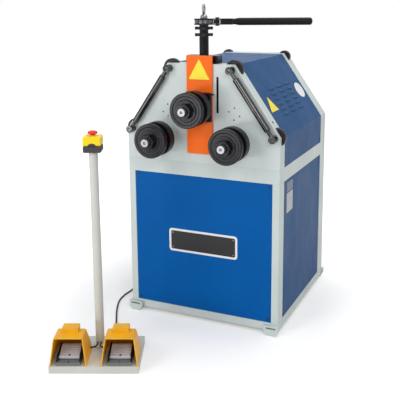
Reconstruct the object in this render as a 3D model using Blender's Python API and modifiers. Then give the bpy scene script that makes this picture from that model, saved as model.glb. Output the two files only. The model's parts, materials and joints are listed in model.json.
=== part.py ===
"""Three-roll section bender with a foot-control stand.

Units are metres and +Z is up. The machine's front faces -Y. Places are given in the machine's own
frame, whose zero is on the floor under the middle of the cabinet's front face. The root empty then
carries everything so that the world origin lies on the floor under the middle of the whole part.
"""

import math

import bmesh
import bpy
from mathutils import Matrix, Vector

# Clearances and overruns
CLEAR = 0.0003
RUN_CLEAR = 0.0005
WELD = 0.00001
CUT_OVERRUN = 0.01
JOIN_OVERLAP = 0.002

# Cabinet and head frame
FRAME_WIDTH = 0.730
FRAME_DEPTH = 0.735
FRAME_LIFT = 0.018
SEAM_HEIGHT = 0.7455
SHOULDER_RISE = 0.137
HEAD_RISE = 0.3025
HEAD_TOP_WIDTH = 0.314
FRONT_POST_DEPTH = 0.064
REAR_POST_DEPTH = 0.080
POST_WIDTH = 0.031
SILL_HEIGHT = 0.052
LINTEL_HEIGHT = 0.0615
LEDGE = 0.020
FLOOR_SHEET = 0.004
REAR_RIM = 0.034
REAR_HOLE_CROWN = 0.080

# Sheet panels
PANEL_SHEET = 0.003
PANEL_INSET = 0.003
HOOD_SHEET = 0.003
HOOD_INSET = 0.002

# Louvres in the hood's slanted sides
LOUVRE_COLUMNS = 3
LOUVRE_ROWS = 6
LOUVRE_LENGTH = 0.078
LOUVRE_WIDTH = 0.007
LOUVRE_COLUMN_STEP = 0.112
LOUVRE_ROW_STEP = 0.026
LOUVRE_FIRST_COLUMN = 0.240
LOUVRE_FIRST_ROW = 0.087

# Corner feet
FOOT_WIDTH = 0.066
FOOT_SOLE_WIDTH = 0.038
FOOT_PAD_WIDTH = 0.034
FOOT_FLARE_HEIGHT = 0.021
FOOT_HEIGHT = 0.046
FOOT_REACH = 0.020
FOOT_LENGTH = 0.070
FOOT_OVERHANG = 0.007
FOOT_SLOT_WIDTH = 0.046
FOOT_SLOT_HEIGHT = 0.008
FOOT_SLOT_DROP = 0.015
FOOT_SLOT_DEPTH = 0.036

# Face plate
FACE_THICK = 0.020
SHAFT_SPACING = 0.351
LOWER_SHAFT_RISE = 0.1135
BOSS_RADIUS = 0.060
BOSS_LENGTH = 0.040
SCALE_SLOT_X = 0.0815
SCALE_SLOT_WIDTH = 0.010
SCALE_SLOT_BELOW = 0.025
SCALE_SLOT_ABOVE = 0.131
TAPPED_HOLE_RADIUS = 0.0032
TAPPED_HOLES_INSET = 0.102
TAPPED_HOLES_ALONG = 0.173
TAPPED_HOLES_LONG = 0.042
TAPPED_HOLES_SHORT = 0.031

# Corner buffers
FRONT_BUFFER_RADIUS = 0.0415
REAR_BUFFER_RADIUS = 0.031
BUFFER_THICK = 0.025
BUFFER_EDGE = 0.003
REAR_BUFFER_BACK = 0.020
REAR_BUFFER_INSET = 0.013

# Guide rods beside the face
ROD_INSET = 0.021
ROD_END_ALONG = 0.0135
ROD_RADIUS = 0.014
ROD_NECK_RADIUS = 0.0085
ROD_NECK_LENGTH = 0.022
ROD_POST_RADIUS = 0.017
ROD_POST_LENGTH = 0.037
ROD_STANDOFF = 0.0195

# Roll shafts and rolls
SHAFT_RADIUS = 0.025
SHAFT_END_RADIUS = 0.020
SHAFT_END_PROUD = 0.0147
SHAFT_TAIL = 0.008
SHAFT_CHAMFER = 0.0025
COLLAR_RADIUS = 0.036
COLLAR_THICK = 0.0112
ROLL_RADIUS = 0.076
ROLL_GROOVE_RADIUS = 0.056
ROLL_LENGTH = 0.097
ROLL_FRONT_DISC = 0.024
ROLL_REAR_DISC = 0.040
ROLL_CHAMFER = 0.003
WASHER_RADIUS = 0.046
WASHER_THICK = 0.005
NUT_ACROSS_FLATS = 0.060
NUT_THICK = 0.023
NUT_SIDES = 6
NUT_TURN = math.radians(8)

# Drive train
PINION_DROP = 0.0849985
GEAR_TEETH = 24
PINION_TEETH = 15
GEAR_REAR_ROOM = 0.026
GEAR_FACE = 0.034
GEAR_HUB_RADIUS = 0.045
GEAR_HUB_LENGTH = 0.020
TOOTH_TIP_SHARE = 0.25
TOOTH_ROOT_SHARE = 0.56
ADDENDUM_SHARE = 0.92
DEDENDUM_SHARE = 1.2
PINION_SHAFT_RADIUS = 0.020
PINION_SHAFT_SUNK = 0.060
BEARING_PLATE_FRONT = 0.360
BEARING_PLATE_THICK = 0.020
BEARING_PLATE_SIDE_ROOM = 0.075
BEARING_PLATE_TOP_ROOM = 0.027
BEARING_PLATE_BELOW = 0.139
BEARING_PLATE_STRAIGHT = 0.080
BEARING_PLATE_ABOVE = 0.181
STAY_RADIUS = 0.012
STAY_INSET = 0.022
STAY_TOP_INSET = 0.018
GEARBOX_WIDTH = 0.170
GEARBOX_DEPTH = 0.150
GEARBOX_HEIGHT = 0.168
GEARBOX_EDGE = 0.012
MOTOR_RADIUS = 0.070
MOTOR_LENGTH = 0.262
MOTOR_FLANGE_RADIUS = 0.082
MOTOR_FLANGE_THICK = 0.012
MOTOR_COWL_RADIUS = 0.074
MOTOR_COWL_LENGTH = 0.070
MOTOR_EDGE = 0.008

# Control box inside the cabinet, with the gland of the stand's cable
CONTROL_BOX_DEPTH = 0.100
CONTROL_BOX_FRONT = 0.110
CONTROL_BOX_REAR = 0.430
CONTROL_BOX_LOW = 0.080
CONTROL_BOX_HIGH = 0.480
CONTROL_BOX_EDGE = 0.008
GLAND_Y = 0.190
GLAND_Z = 0.112
GLAND_RADIUS = 0.011
GLAND_NECK_RADIUS = 0.007
GLAND_FLANGE = 0.008
GLAND_LENGTH = 0.024
GLAND_BORE_DEPTH = 0.008
PANEL_HOLE_CUT = 0.030

# Top slide
SLIDE_UP = 0.0738
SLIDE_DOWN = 0.0780
TOP_SHAFT_RISE = 0.142
SLIDE_NECK_WIDTH = 0.090
SLIDE_NECK_HEIGHT = 0.090
SLIDE_SLOT_MARGIN = 0.002
SLIDE_BLOCK_WIDTH = 0.133
SLIDE_BLOCK_WIDE = 0.172
SLIDE_BLOCK_HEIGHT = 0.142
SLIDE_BLOCK_REAR = 0.200
SLIDE_FLOOR_GAP = 0.012
COVER_WIDTH = 0.120
COVER_BELOW = 0.210
COVER_OVER_HEAD = 0.0365
COVER_THICK = 0.010
BEARING_BLOCK_WIDTH = 0.122
BEARING_BLOCK_HEIGHT = 0.128
BEARING_BLOCK_THICK = 0.0185
BEARING_BLOCK_EDGE = 0.003
POINTER_WIDTH = 0.144
POINTER_HEIGHT = 0.005
POINTER_THICK = 0.004
POINTER_DROP = 0.006

# Lift nut, crosshead and ratchet head
SCREW_Y = 0.044
SCREW_RADIUS = 0.014
SCREW_OVER_HEAD = 0.100
SCREW_SEAT = 0.022
CROSSHEAD_WIDTH = 0.150
CROSSHEAD_RIM = 0.001
CROSSHEAD_HEIGHT = 0.035
CROSSHEAD_EDGE = 0.004
NUT_TUBE_RADIUS = 0.0205
NUT_TUBE_OVER_HEAD = 0.1925
NUT_TUBE_CLOSED_END = 0.0115
NUT_FLANGE_REACH = 0.0075
NUT_FLANGE_THICK = 0.006
THRUST_COLLAR_WALL = 0.0029
THRUST_COLLAR_THICK = 0.008
CLAMP_ROWS = 2
CLAMP_DROP = 0.0695
CLAMP_STEP = 0.028
CLAMP_SHANK_RADIUS = 0.004
CLAMP_HEAD_RADIUS = 0.0058
CLAMP_HEAD_LENGTH = 0.0085
CLAMP_OUT = 0.0188
CLAMP_COUNT = 4
WHEEL_RADIUS = 0.040
WHEEL_TOOTH = 0.0055
WHEEL_TEETH = 12
WHEEL_DROP = 0.0215
WHEEL_THICK = 0.0150
WHEEL_GAP_SHARE = 0.50
CHEEK_OVER_WHEEL = 0.003
CHEEK_THICK = 0.0050
CHEEK_GAP = 0.0005
HANDLE_TURN = math.radians(18)
HANDLE_NECK_ROOM = 0.010
HANDLE_NECK_WIDTH = 0.026
HANDLE_GRIP_START = 0.126
HANDLE_REACH = 0.463
HANDLE_GRIP_RADIUS = 0.0157
HANDLE_GRIP_ROUND = 0.005
HANDLE_TANG_RADIUS = 0.009
HANDLE_TANG_LENGTH = 0.060
PAWL_NOSE = 0.016
PAWL_PIN_RADIUS = 0.0055
PAWL_HEAD_RADIUS = 0.0085
PAWL_HEAD_HEIGHT = 0.0050
PAWL_NOSE_HALF = 0.010
PAWL_NOSE_GAP = 0.0020
PAWL_BACK = 0.010
PAWL_THICK = 0.0140
EYE_COLLAR_RADIUS = 0.0155
EYE_COLLAR_HEIGHT = 0.018
EYE_COLLAR_SHARES = [(0, 1), (0.6, 1), (0.85, 0.65), (1, 0.5), (1, 0), (0, 0)]
EYE_RING_RADIUS = 0.0175
EYE_WIRE_RADIUS = 0.0050
EYE_RING_SINK = 0.0020
EYE_TURN = math.radians(15)

# Foot-control stand, in its own frame: x along its front edge, y towards its back
STAND_X = -0.2012
STAND_Y = -0.5998
STAND_TURN = math.radians(23.63)
TRAY_SIDE_ROOM = 0.003
TRAY_DEPTH = 0.260
TRAY_HEIGHT = 0.030
TRAY_SHEET = 0.003
POST_RADIUS = 0.018
POST_TOP = 0.8645
POST_FOOT_RADIUS = 0.030
POST_FOOT_THICK = 0.006
PEDAL_OFFSET = 0.1025
HOOD_WIDTH = 0.148
HOOD_DEPTH = 0.150
HOOD_WALL = 0.004
HOOD_ROOF_WIDTH = 0.118
HOOD_ROOF_HEIGHT = 0.110
HOOD_MOUTH_SETBACK = 0.022
HOOD_ROOF_BACK = 0.112
HOOD_STEP_WIDTH = 0.066
HOOD_STEP_FRONT = 0.070
HOOD_STEP_BACK = 0.118
HOOD_STEP_RISE = 0.018
HOOD_BACK_HEIGHT = 0.040
HOOD_EDGE = 0.007
PEDAL_BASE_WIDTH = 0.098
PEDAL_BASE_FRONT = 0.006
PEDAL_BASE_REAR_ROOM = 0.022
PEDAL_BASE_HEIGHT = 0.012
PEDAL_CHEEK = 0.006
PEDAL_CHEEK_HEIGHT = 0.040
TREAD_WIDTH = 0.080
TREAD_PIVOT_Y = 0.038
TREAD_PIVOT_LIFT = 0.008
TREAD_LENGTH = 0.070
TREAD_THICK = 0.010
TREAD_RISE = math.radians(17)
TREAD_PIN_RADIUS = 0.004

# Emergency stop on the post
STOP_WIDTH = 0.073
STOP_DEPTH = 0.068
STOP_BASE_HEIGHT = 0.028
STOP_COVER_HEIGHT = 0.0365
STOP_EDGE = 0.004
STOP_NOTCH_RADIUS = 0.010
STOP_NOTCH_DEPTH = 0.003
STOP_COLLAR_RADIUS = 0.0135
STOP_COLLAR_HEIGHT = 0.003
STOP_STEM_RADIUS = 0.0095
STOP_CAP_RADIUS = 0.020
STOP_CAP_HEIGHT = 0.0125
STOP_CAP_LIFT = 0.0085
STOP_TRAVEL = 0.005
STOP_STEM_SINK = 0.010
STOP_CAP_SHARES = [(0, 1), (0.55, 0.94), (0.85, 0.70), (1, 0.40), (1, 0.10), (0.94, 0)]

# Leads and cable
CORD_STEP_DIAMETERS = 2.6
LEAD_RADIUS = 0.0032
LEAD_HEIGHT = 0.052
LEAD_EXIT_Y = 0.118
LEAD_OFFSET = 0.007
LEAD_BEND_SHARE = 1.7
CABLE_RADIUS = 0.004
CABLE_ENTRY_X = 0.035
CABLE_ENTRY_Z = 0.015
CABLE_START_SHARE = 1.5
GROMMET_RADIUS = 0.008
GROMMET_LENGTH = 0.005

# Facets on round pieces
FINE = 28
ROUND = 20
SMALL = 12
BUFFER_FACETS = 16
ROD_POST_FACETS = 12
CLAMP_FACETS = 6
STAY_FACETS = 8
EYE_FACETS = 16
ROUTE_STEPS = 16
SHARP_ANGLE = math.radians(35)
ROUND_EDGE_SHARE = 0.5

HALF_WIDTH = FRAME_WIDTH / 2
HALF_TOP = HEAD_TOP_WIDTH / 2
SHAFT_X = SHAFT_SPACING / 2

# The rolls are clamped between the shaft's collar and its nut.
ROLL_REAR = -(BOSS_LENGTH + RUN_CLEAR + COLLAR_THICK + CLEAR)
ROLL_FRONT = ROLL_REAR - ROLL_LENGTH
SHAFT_FRONT = ROLL_FRONT - CLEAR - WASHER_THICK - NUT_THICK - SHAFT_END_PROUD
SHAFT_REAR = BEARING_PLATE_FRONT + BEARING_PLATE_THICK + SHAFT_TAIL

# The pinion meshes with both gears, so their module follows from the distance of their centres.
GEAR_MODULE = 2 * math.hypot(SHAFT_X, PINION_DROP) / (GEAR_TEETH + PINION_TEETH)
GEAR_FRONT = BEARING_PLATE_FRONT - GEAR_REAR_ROOM - GEAR_FACE
PINION_SHAFT_REAR = BEARING_PLATE_FRONT + BEARING_PLATE_THICK + PINION_SHAFT_SUNK

# The lift nut's rings grow with its tube, and the ratchet head with its wheel.
NUT_FLANGE_RADIUS = NUT_TUBE_RADIUS + NUT_FLANGE_REACH
THRUST_COLLAR_RADIUS = NUT_TUBE_RADIUS + THRUST_COLLAR_WALL
CLAMP_REACH = NUT_TUBE_RADIUS + CLAMP_OUT
CROSSHEAD_DEPTH = 2 * (NUT_FLANGE_RADIUS + CROSSHEAD_RIM)
WHEEL_ROOT_RADIUS = WHEEL_RADIUS - WHEEL_TOOTH
CHEEK_RADIUS = WHEEL_RADIUS + CHEEK_OVER_WHEEL
PAWL_PIVOT = WHEEL_RADIUS + PAWL_NOSE_GAP + PAWL_NOSE
HANDLE_NECK_START = PAWL_PIVOT + PAWL_BACK + HANDLE_NECK_ROOM

# The stand's sheet carries the two guards, with the post behind them.
TRAY_WIDTH = 2 * PEDAL_OFFSET + HOOD_WIDTH + 2 * TRAY_SIDE_ROOM
POST_Y = HOOD_DEPTH + POST_FOOT_RADIUS
HOOD_STEP_HEIGHT = HOOD_ROOF_HEIGHT + HOOD_STEP_RISE
PEDAL_BASE_REAR = HOOD_DEPTH - PEDAL_BASE_REAR_ROOM
GLAND_BORE_RADIUS = CABLE_RADIUS + RUN_CLEAR

# Heights above the floor: everything on the head follows the seam, and the lift gear the head's top.
WINDOW_TOP = SEAM_HEIGHT - LINTEL_HEIGHT
SHOULDER_HEIGHT = SEAM_HEIGHT + SHOULDER_RISE
HEAD_HEIGHT = SHOULDER_HEIGHT + HEAD_RISE
LOWER_SHAFT_HEIGHT = SEAM_HEIGHT + LOWER_SHAFT_RISE
TOP_SHAFT_HEIGHT = LOWER_SHAFT_HEIGHT + TOP_SHAFT_RISE
SLIDE_BLOCK_LOW = TOP_SHAFT_HEIGHT - SLIDE_BLOCK_HEIGHT / 2
SLIDE_BLOCK_HIGH = TOP_SHAFT_HEIGHT + SLIDE_BLOCK_HEIGHT / 2
COVER_LOW = TOP_SHAFT_HEIGHT - COVER_BELOW
COVER_HIGH = HEAD_HEIGHT + COVER_OVER_HEAD
SCREW_TOP = HEAD_HEIGHT + SCREW_OVER_HEAD
NUT_TUBE_TOP = HEAD_HEIGHT + NUT_TUBE_OVER_HEAD
NUT_TUBE_BORE_TOP = NUT_TUBE_TOP - NUT_TUBE_CLOSED_END
WHEEL_LOW = NUT_TUBE_TOP - WHEEL_DROP

# Route of the control cable, in the machine's frame: out of the gland, down to the floor, and
# along it to the back of the stand. The last points follow from the stand's place.
CABLE_ROUTE = [
    (-0.402, 0.190, 0.1105),
    (-0.424, 0.190, 0.1000),
    (-0.441, 0.189, 0.0780),
    (-0.451, 0.186, 0.0500),
    (-0.458, 0.178, 0.0240),
    (-0.464, 0.163, 0.0085),
    (-0.469, 0.140, 0.0045),
    (-0.471, 0.110, 0.0043),
    (-0.469, 0.075, 0.0043),
    (-0.461, 0.035, 0.0043),
    (-0.445, -0.008, 0.0043),
    (-0.424, -0.052, 0.0043),
    (-0.399, -0.098, 0.0043),
    (-0.372, -0.144, 0.0043),
    (-0.346, -0.188, 0.0043),
    (-0.322, -0.231, 0.0045),
    (-0.303, -0.270, 0.0062),
]


def finish_of(name, colour, roughness, metallic=0.0):
    """A Principled material."""
    material = bpy.data.materials.new(name)
    material.use_nodes = True
    shader = material.node_tree.nodes["Principled BSDF"]
    shader.inputs["Base Color"].default_value = (*colour, 1.0)
    shader.inputs["Roughness"].default_value = roughness
    shader.inputs["Metallic"].default_value = metallic
    material.diffuse_color = (*colour, 1.0)
    return material


class Assembly:
    """The collections, the finishes and the empties that carry the moving pieces."""

    def __init__(self, name):
        self.parts = bpy.data.collections.new(name)
        self.cutters = bpy.data.collections.new("cutters")
        for collection in (self.parts, self.cutters):
            bpy.context.scene.collection.children.link(collection)
        self.places = {}
        self.finishes = {}

    def carrier(self, name, place, under=None):
        """An empty on a joint's axis, at a place given in the frame of its assembly."""
        empty = bpy.data.objects.new(name, None)
        self.parts.objects.link(empty)
        place = Vector(place)
        if under is not None:
            empty.parent = under
            empty.location = place - self.places[under.name]
        self.places[name] = place
        return empty

    def piece(self, name, mesh, pivot, carrier, finish):
        """An object whose mesh is given in the frame of its assembly, with its origin at pivot."""
        mesh.transform(Matrix.Translation(-Vector(pivot)))
        return self.put(name, mesh, pivot, carrier, finish)

    def put(self, name, data, pivot, carrier, finish):
        """An object whose data already lies about its origin."""
        body = bpy.data.objects.new(name, data)
        if finish is None:
            self.cutters.objects.link(body)
            body.hide_render = True
            body.display_type = "WIRE"
        else:
            self.parts.objects.link(body)
            data.materials.append(self.finishes[finish])
        body.parent = carrier
        body.location = Vector(pivot) - self.places[carrier.name]
        return body


def smooth_round(mesh):
    """Shade a piece smooth, but not across its corners."""
    mesh.shade_smooth()
    mesh.set_sharp_from_angle(angle=SHARP_ANGLE)


def mesh_from(bm):
    mesh = bpy.data.meshes.new("piece")
    bmesh.ops.recalc_face_normals(bm, faces=bm.faces)
    bm.to_mesh(mesh)
    bm.free()
    smooth_round(mesh)
    return mesh


def box_mesh(low, high):
    """A block between two corners."""
    low = Vector(low)
    high = Vector(high)
    bm = bmesh.new()
    bmesh.ops.create_cube(bm, size=1.0)
    bmesh.ops.scale(bm, vec=high - low, verts=bm.verts)
    bmesh.ops.translate(bm, vec=(high + low) / 2, verts=bm.verts)
    return mesh_from(bm)


ALONG = {
    "X": Matrix.Rotation(math.radians(90), 4, "Y"),
    "Y": Matrix.Rotation(math.radians(-90), 4, "X"),
    "Z": Matrix.Identity(4),
}


def rod_mesh(start, axis, length, radius, facets, end_radius=None):
    """A round bar, or a cone, from its start along an axis."""
    bm = bmesh.new()
    far_radius = radius if end_radius is None else end_radius
    bmesh.ops.create_cone(
        bm, cap_ends=True, segments=facets, radius1=radius, radius2=far_radius, depth=length
    )
    bmesh.ops.translate(bm, vec=(0, 0, length / 2), verts=bm.verts)
    bmesh.ops.transform(bm, matrix=Matrix.Translation(Vector(start)) @ ALONG[axis], verts=bm.verts)
    return mesh_from(bm)


def welded_mesh(curve):
    """The mesh of a curve, with its loose caps welded on."""
    holder = bpy.data.objects.new("outline", curve)
    bpy.context.scene.collection.objects.link(holder)
    graph = bpy.context.evaluated_depsgraph_get()
    mesh = bpy.data.meshes.new_from_object(holder.evaluated_get(graph))
    bpy.data.objects.remove(holder)
    bm = bmesh.new()
    bm.from_mesh(mesh)
    bmesh.ops.remove_doubles(bm, verts=bm.verts, dist=WELD)
    bmesh.ops.recalc_face_normals(bm, faces=bm.faces)
    bm.to_mesh(mesh)
    bm.free()
    mesh.materials.clear()
    smooth_round(mesh)
    return mesh


def closed_spline(curve, points):
    spline = curve.splines.new("POLY")
    spline.points.add(len(points) - 1)
    for point, (across, up) in zip(spline.points, points):
        point.co = (across, up, 0, 1)
    spline.use_cyclic_u = True


PLATE_TURN = {
    "X": Matrix(((0, 0, 1, 0), (1, 0, 0, 0), (0, 1, 0, 0), (0, 0, 0, 1))),
    "Y": Matrix(((1, 0, 0, 0), (0, 0, -1, 0), (0, 1, 0, 0), (0, 0, 0, 1))),
    "Z": Matrix.Identity(4),
}


def plate_mesh(outlines, axis, low, high):
    """A flat outline, with any holes, given as points across and up, and thick along an axis."""
    curve = bpy.data.curves.new("outline", "CURVE")
    curve.dimensions = "2D"
    curve.fill_mode = "BOTH"
    curve.extrude = (high - low) / 2
    for points in outlines:
        closed_spline(curve, points)
    mesh = welded_mesh(curve)
    mesh.transform(PLATE_TURN[axis])
    along = "XYZ".index(axis)
    for vert in mesh.vertices:
        vert.co[along] = high if vert.co[along] > 0 else low
    return mesh


def circle_points(across, up, radius, facets, start=0.0):
    return [
        (
            across + radius * math.cos(start + math.tau * i / facets),
            up + radius * math.sin(start + math.tau * i / facets),
        )
        for i in range(facets)
    ]


def rectangle(across_low, up_low, across_high, up_high):
    return [
        (across_low, up_low),
        (across_high, up_low),
        (across_high, up_high),
        (across_low, up_high),
    ]


def turned(kit, name, profile, ring, pivot, axis, carrier, finish, steps=ROUND):
    """A turned piece from (radius, place along the axis) points, outer side from top to bottom."""
    mesh = bpy.data.meshes.new(name)
    bm = bmesh.new()
    points = [bm.verts.new((radius, 0, along)) for radius, along in profile]
    pairs = list(zip(points, points[1:]))
    if ring:
        pairs.append((points[-1], points[0]))
    for first, second in pairs:
        bm.edges.new((first, second))
    bm.to_mesh(mesh)
    bm.free()
    body = kit.put(name, mesh, pivot, carrier, finish)
    body.rotation_euler = ALONG[axis].to_euler()
    screw = body.modifiers.new("turn", "SCREW")
    screw.steps = steps
    screw.render_steps = steps
    screw.use_merge_vertices = True
    screw.merge_threshold = WELD
    screw.use_smooth_shade = False
    return body


def bevel(body, width, segments=1):
    """Rounded edges on a body, before anything is cut from it."""
    step = body.modifiers.new("bevel", "BEVEL")
    step.width = width
    step.segments = segments
    step.limit_method = "ANGLE"
    step.angle_limit = SHARP_ANGLE
    step.use_clamp_overlap = True


def boolean(target, tool, operation):
    step = target.modifiers.new(operation.lower(), "BOOLEAN")
    step.operation = operation
    step.solver = "EXACT"
    step.object = tool


def cut(kit, target, mesh, carrier):
    tool = kit.piece(target.name + "_cut", mesh, (0, 0, 0), carrier, None)
    boolean(target, tool, "DIFFERENCE")


def join(kit, target, mesh, carrier):
    tool = kit.piece(target.name + "_add", mesh, (0, 0, 0), carrier, None)
    boolean(target, tool, "UNION")


# The slanted edge of the head runs from the shoulder corner to the top corner.

def slope():
    """The slanted edge's unit direction, its outward normal and its length."""
    run = HALF_TOP - HALF_WIDTH
    rise = HEAD_HEIGHT - SHOULDER_HEIGHT
    length = math.hypot(run, rise)
    return (run / length, rise / length), (rise / length, -run / length), length


def on_slope(along, inset):
    """A point (x, z) at a distance along the right slanted edge and inside it."""
    direction, normal, _ = slope()
    return (
        HALF_WIDTH + direction[0] * along - normal[0] * inset,
        SHOULDER_HEIGHT + direction[1] * along - normal[1] * inset,
    )


def head_points(inset, low):
    """The head's outline moved inwards by inset, down to the height low."""
    _, normal, _ = slope()
    edge = normal[0] * HALF_WIDTH + normal[1] * SHOULDER_HEIGHT - inset
    side = HALF_WIDTH - inset
    top = HEAD_HEIGHT - inset
    shoulder = (edge - normal[0] * side) / normal[1]
    corner = (edge - normal[1] * top) / normal[0]
    return [(-side, low), (side, low), (side, shoulder), (corner, top), (-corner, top), (-side, shoulder)]


def post_centres():
    """The upper and lower guide rod post on the right side."""
    _, _, length = slope()
    return on_slope(length - ROD_END_ALONG, ROD_INSET), on_slope(ROD_END_ALONG, ROD_INSET)


def pinion_height():
    """The pinion meshes with both gears from below."""
    return LOWER_SHAFT_HEIGHT - PINION_DROP


def frame_front(points_low):
    """The front slab's outline: the head's outline with the slide's channel open at the top."""
    outline = head_points(0, points_low)
    channel = SLIDE_BLOCK_WIDTH / 2 + RUN_CLEAR
    floor = SLIDE_BLOCK_LOW - SLIDE_DOWN - SLIDE_FLOOR_GAP
    notch = [(channel, HEAD_HEIGHT), (channel, floor), (-channel, floor), (-channel, HEAD_HEIGHT)]
    return outline[:4] + notch + outline[4:]


def foot_meshes(side, front):
    """A pressed corner foot: a slotted upstand on the frame's end face, and the pad under it."""
    middle = side * (HALF_WIDTH + FOOT_OVERHANG - FOOT_WIDTH / 2)
    top = FOOT_WIDTH / 2
    sole = FOOT_SOLE_WIDTH / 2
    pad = FOOT_PAD_WIDTH / 2
    slot = FOOT_SLOT_WIDTH / 2
    outline = [
        (middle - sole, 0),
        (middle + sole, 0),
        (middle + top, FOOT_FLARE_HEIGHT),
        (middle + top, FOOT_HEIGHT),
        (middle - top, FOOT_HEIGHT),
        (middle - top, FOOT_FLARE_HEIGHT),
    ]
    # Places along Y are measured inwards from the frame's end face.
    places = {
        "face": -FOOT_REACH,
        "back": JOIN_OVERLAP,
        "pad_front": JOIN_OVERLAP - FOOT_REACH,
        "pad_back": FOOT_LENGTH - FOOT_REACH,
        "slot_front": -FOOT_REACH - CUT_OVERRUN,
        "slot_back": FOOT_SLOT_DEPTH,
    }
    if not front:
        places = {name: FRAME_DEPTH - inward for name, inward in places.items()}
    upstand = sorted((places["face"], places["back"]))
    under = sorted((places["pad_front"], places["pad_back"]))
    hollow = sorted((places["slot_front"], places["slot_back"]))
    pieces = [
        plate_mesh([outline], "Y", upstand[0], upstand[1]),
        box_mesh((middle - pad, under[0], 0), (middle + pad, under[1], FRAME_LIFT + JOIN_OVERLAP)),
    ]
    slot_low = FOOT_HEIGHT - FOOT_SLOT_DROP
    pocket = box_mesh(
        (middle - slot, hollow[0], slot_low), (middle + slot, hollow[1], slot_low + FOOT_SLOT_HEIGHT)
    )
    return pieces, pocket


def machine_frame(kit, machine):
    """The welded frame: front and rear slabs, side rails, floor sheet and corner feet."""
    half_window = HALF_WIDTH - POST_WIDTH
    window = rectangle(
        -half_window + LEDGE, SILL_HEIGHT + LEDGE, half_window - LEDGE, WINDOW_TOP - LEDGE
    )
    front = plate_mesh([frame_front(FRAME_LIFT), window], "Y", 0, FRONT_POST_DEPTH)
    frame = kit.piece("machine_frame", front, (0, 0, 0), machine, "frame_paint")
    rear_face = FRAME_DEPTH - REAR_POST_DEPTH
    rear = plate_mesh([head_points(0, FRAME_LIFT), window], "Y", rear_face, FRAME_DEPTH)
    join(kit, frame, rear, machine)

    # Side rails run between the slabs and lap into both.
    rail_ends = (FRONT_POST_DEPTH - JOIN_OVERLAP, rear_face + JOIN_OVERLAP)
    for side in (-1, 1):
        across = sorted((side * (HALF_WIDTH - POST_WIDTH), side * HALF_WIDTH))
        for low, high in ((FRAME_LIFT, SILL_HEIGHT), (WINDOW_TOP, SEAM_HEIGHT)):
            rail = box_mesh((across[0], rail_ends[0], low), (across[1], rail_ends[1], high))
            join(kit, frame, rail, machine)
    sheet = box_mesh(
        (-HALF_WIDTH + JOIN_OVERLAP, rail_ends[0], FRAME_LIFT + JOIN_OVERLAP),
        (HALF_WIDTH - JOIN_OVERLAP, rail_ends[1], FRAME_LIFT + JOIN_OVERLAP + FLOOR_SHEET),
    )
    join(kit, frame, sheet, machine)

    # Recesses take the face plate, the front panel and the two rear panels.
    cut(kit, frame, box_mesh(
        (-HALF_WIDTH - CUT_OVERRUN, -CUT_OVERRUN, SEAM_HEIGHT),
        (HALF_WIDTH + CUT_OVERRUN, FACE_THICK + CLEAR, HEAD_HEIGHT + CUT_OVERRUN),
    ), machine)
    recess = PANEL_INSET + PANEL_SHEET + CLEAR
    low = (-half_window, SILL_HEIGHT)
    high = (half_window, WINDOW_TOP)
    cut(kit, frame, box_mesh((low[0], -CUT_OVERRUN, low[1]), (high[0], recess, high[1])), machine)
    back = FRAME_DEPTH + CUT_OVERRUN
    cut(kit, frame, box_mesh((low[0], FRAME_DEPTH - recess, low[1]), (high[0], back, high[1])), machine)
    cover = head_points(REAR_RIM, SEAM_HEIGHT - LEDGE)
    cut(kit, frame, plate_mesh([cover], "Y", FRAME_DEPTH - recess, back), machine)
    crown = HEAD_HEIGHT - REAR_HOLE_CROWN
    rear_hole = [(x, min(z, crown)) for x, z in head_points(REAR_RIM + LEDGE, SEAM_HEIGHT)]
    cut(kit, frame, plate_mesh([rear_hole], "Y", rear_face - CUT_OVERRUN, back), machine)

    # Bores for the lower shafts, and pockets for the corner buffers.
    bore = SHAFT_RADIUS + RUN_CLEAR
    depth = FRONT_POST_DEPTH + 2 * CUT_OVERRUN
    upper, lower = post_centres()
    pocket = FRONT_BUFFER_RADIUS + CLEAR
    pocket_end = FACE_THICK + BUFFER_THICK + 3 * CLEAR
    for side in (-1, 1):
        centre = (side * SHAFT_X, -CUT_OVERRUN, LOWER_SHAFT_HEIGHT)
        cut(kit, frame, rod_mesh(centre, "Y", depth, bore, ROUND), machine)
        for x, z in (upper, lower):
            start = (side * x, -CUT_OVERRUN, z)
            length = pocket_end + CUT_OVERRUN
            cut(kit, frame, rod_mesh(start, "Y", length, pocket, BUFFER_FACETS), machine)
        x, z = rear_buffer_centre()
        start = (side * x, rear_buffer_front() - CLEAR, z)
        length = BUFFER_THICK + 2 * CLEAR
        rear_pocket = REAR_BUFFER_RADIUS + CLEAR
        cut(kit, frame, rod_mesh(start, "Y", length, rear_pocket, BUFFER_FACETS), machine)

    for side in (-1, 1):
        for at_front in (True, False):
            pieces, slot = foot_meshes(side, at_front)
            for mesh in pieces:
                join(kit, frame, mesh, machine)
            cut(kit, frame, slot, machine)


def rear_buffer_centre():
    """The rear buffers sit inside the rear slab's top corners."""
    _, _, length = slope()
    return on_slope(length - REAR_BUFFER_INSET, REAR_BUFFER_INSET)


def rear_buffer_front():
    return FRAME_DEPTH - REAR_BUFFER_BACK - BUFFER_THICK


def tapped_holes():
    """Four small holes on the right, in a rectangle that is parallel to the slanted edge."""
    places = []
    for along in (TAPPED_HOLES_ALONG, TAPPED_HOLES_ALONG + TAPPED_HOLES_LONG):
        for inset in (TAPPED_HOLES_INSET, TAPPED_HOLES_INSET + TAPPED_HOLES_SHORT):
            places.append(on_slope(along, inset))
    return places


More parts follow.
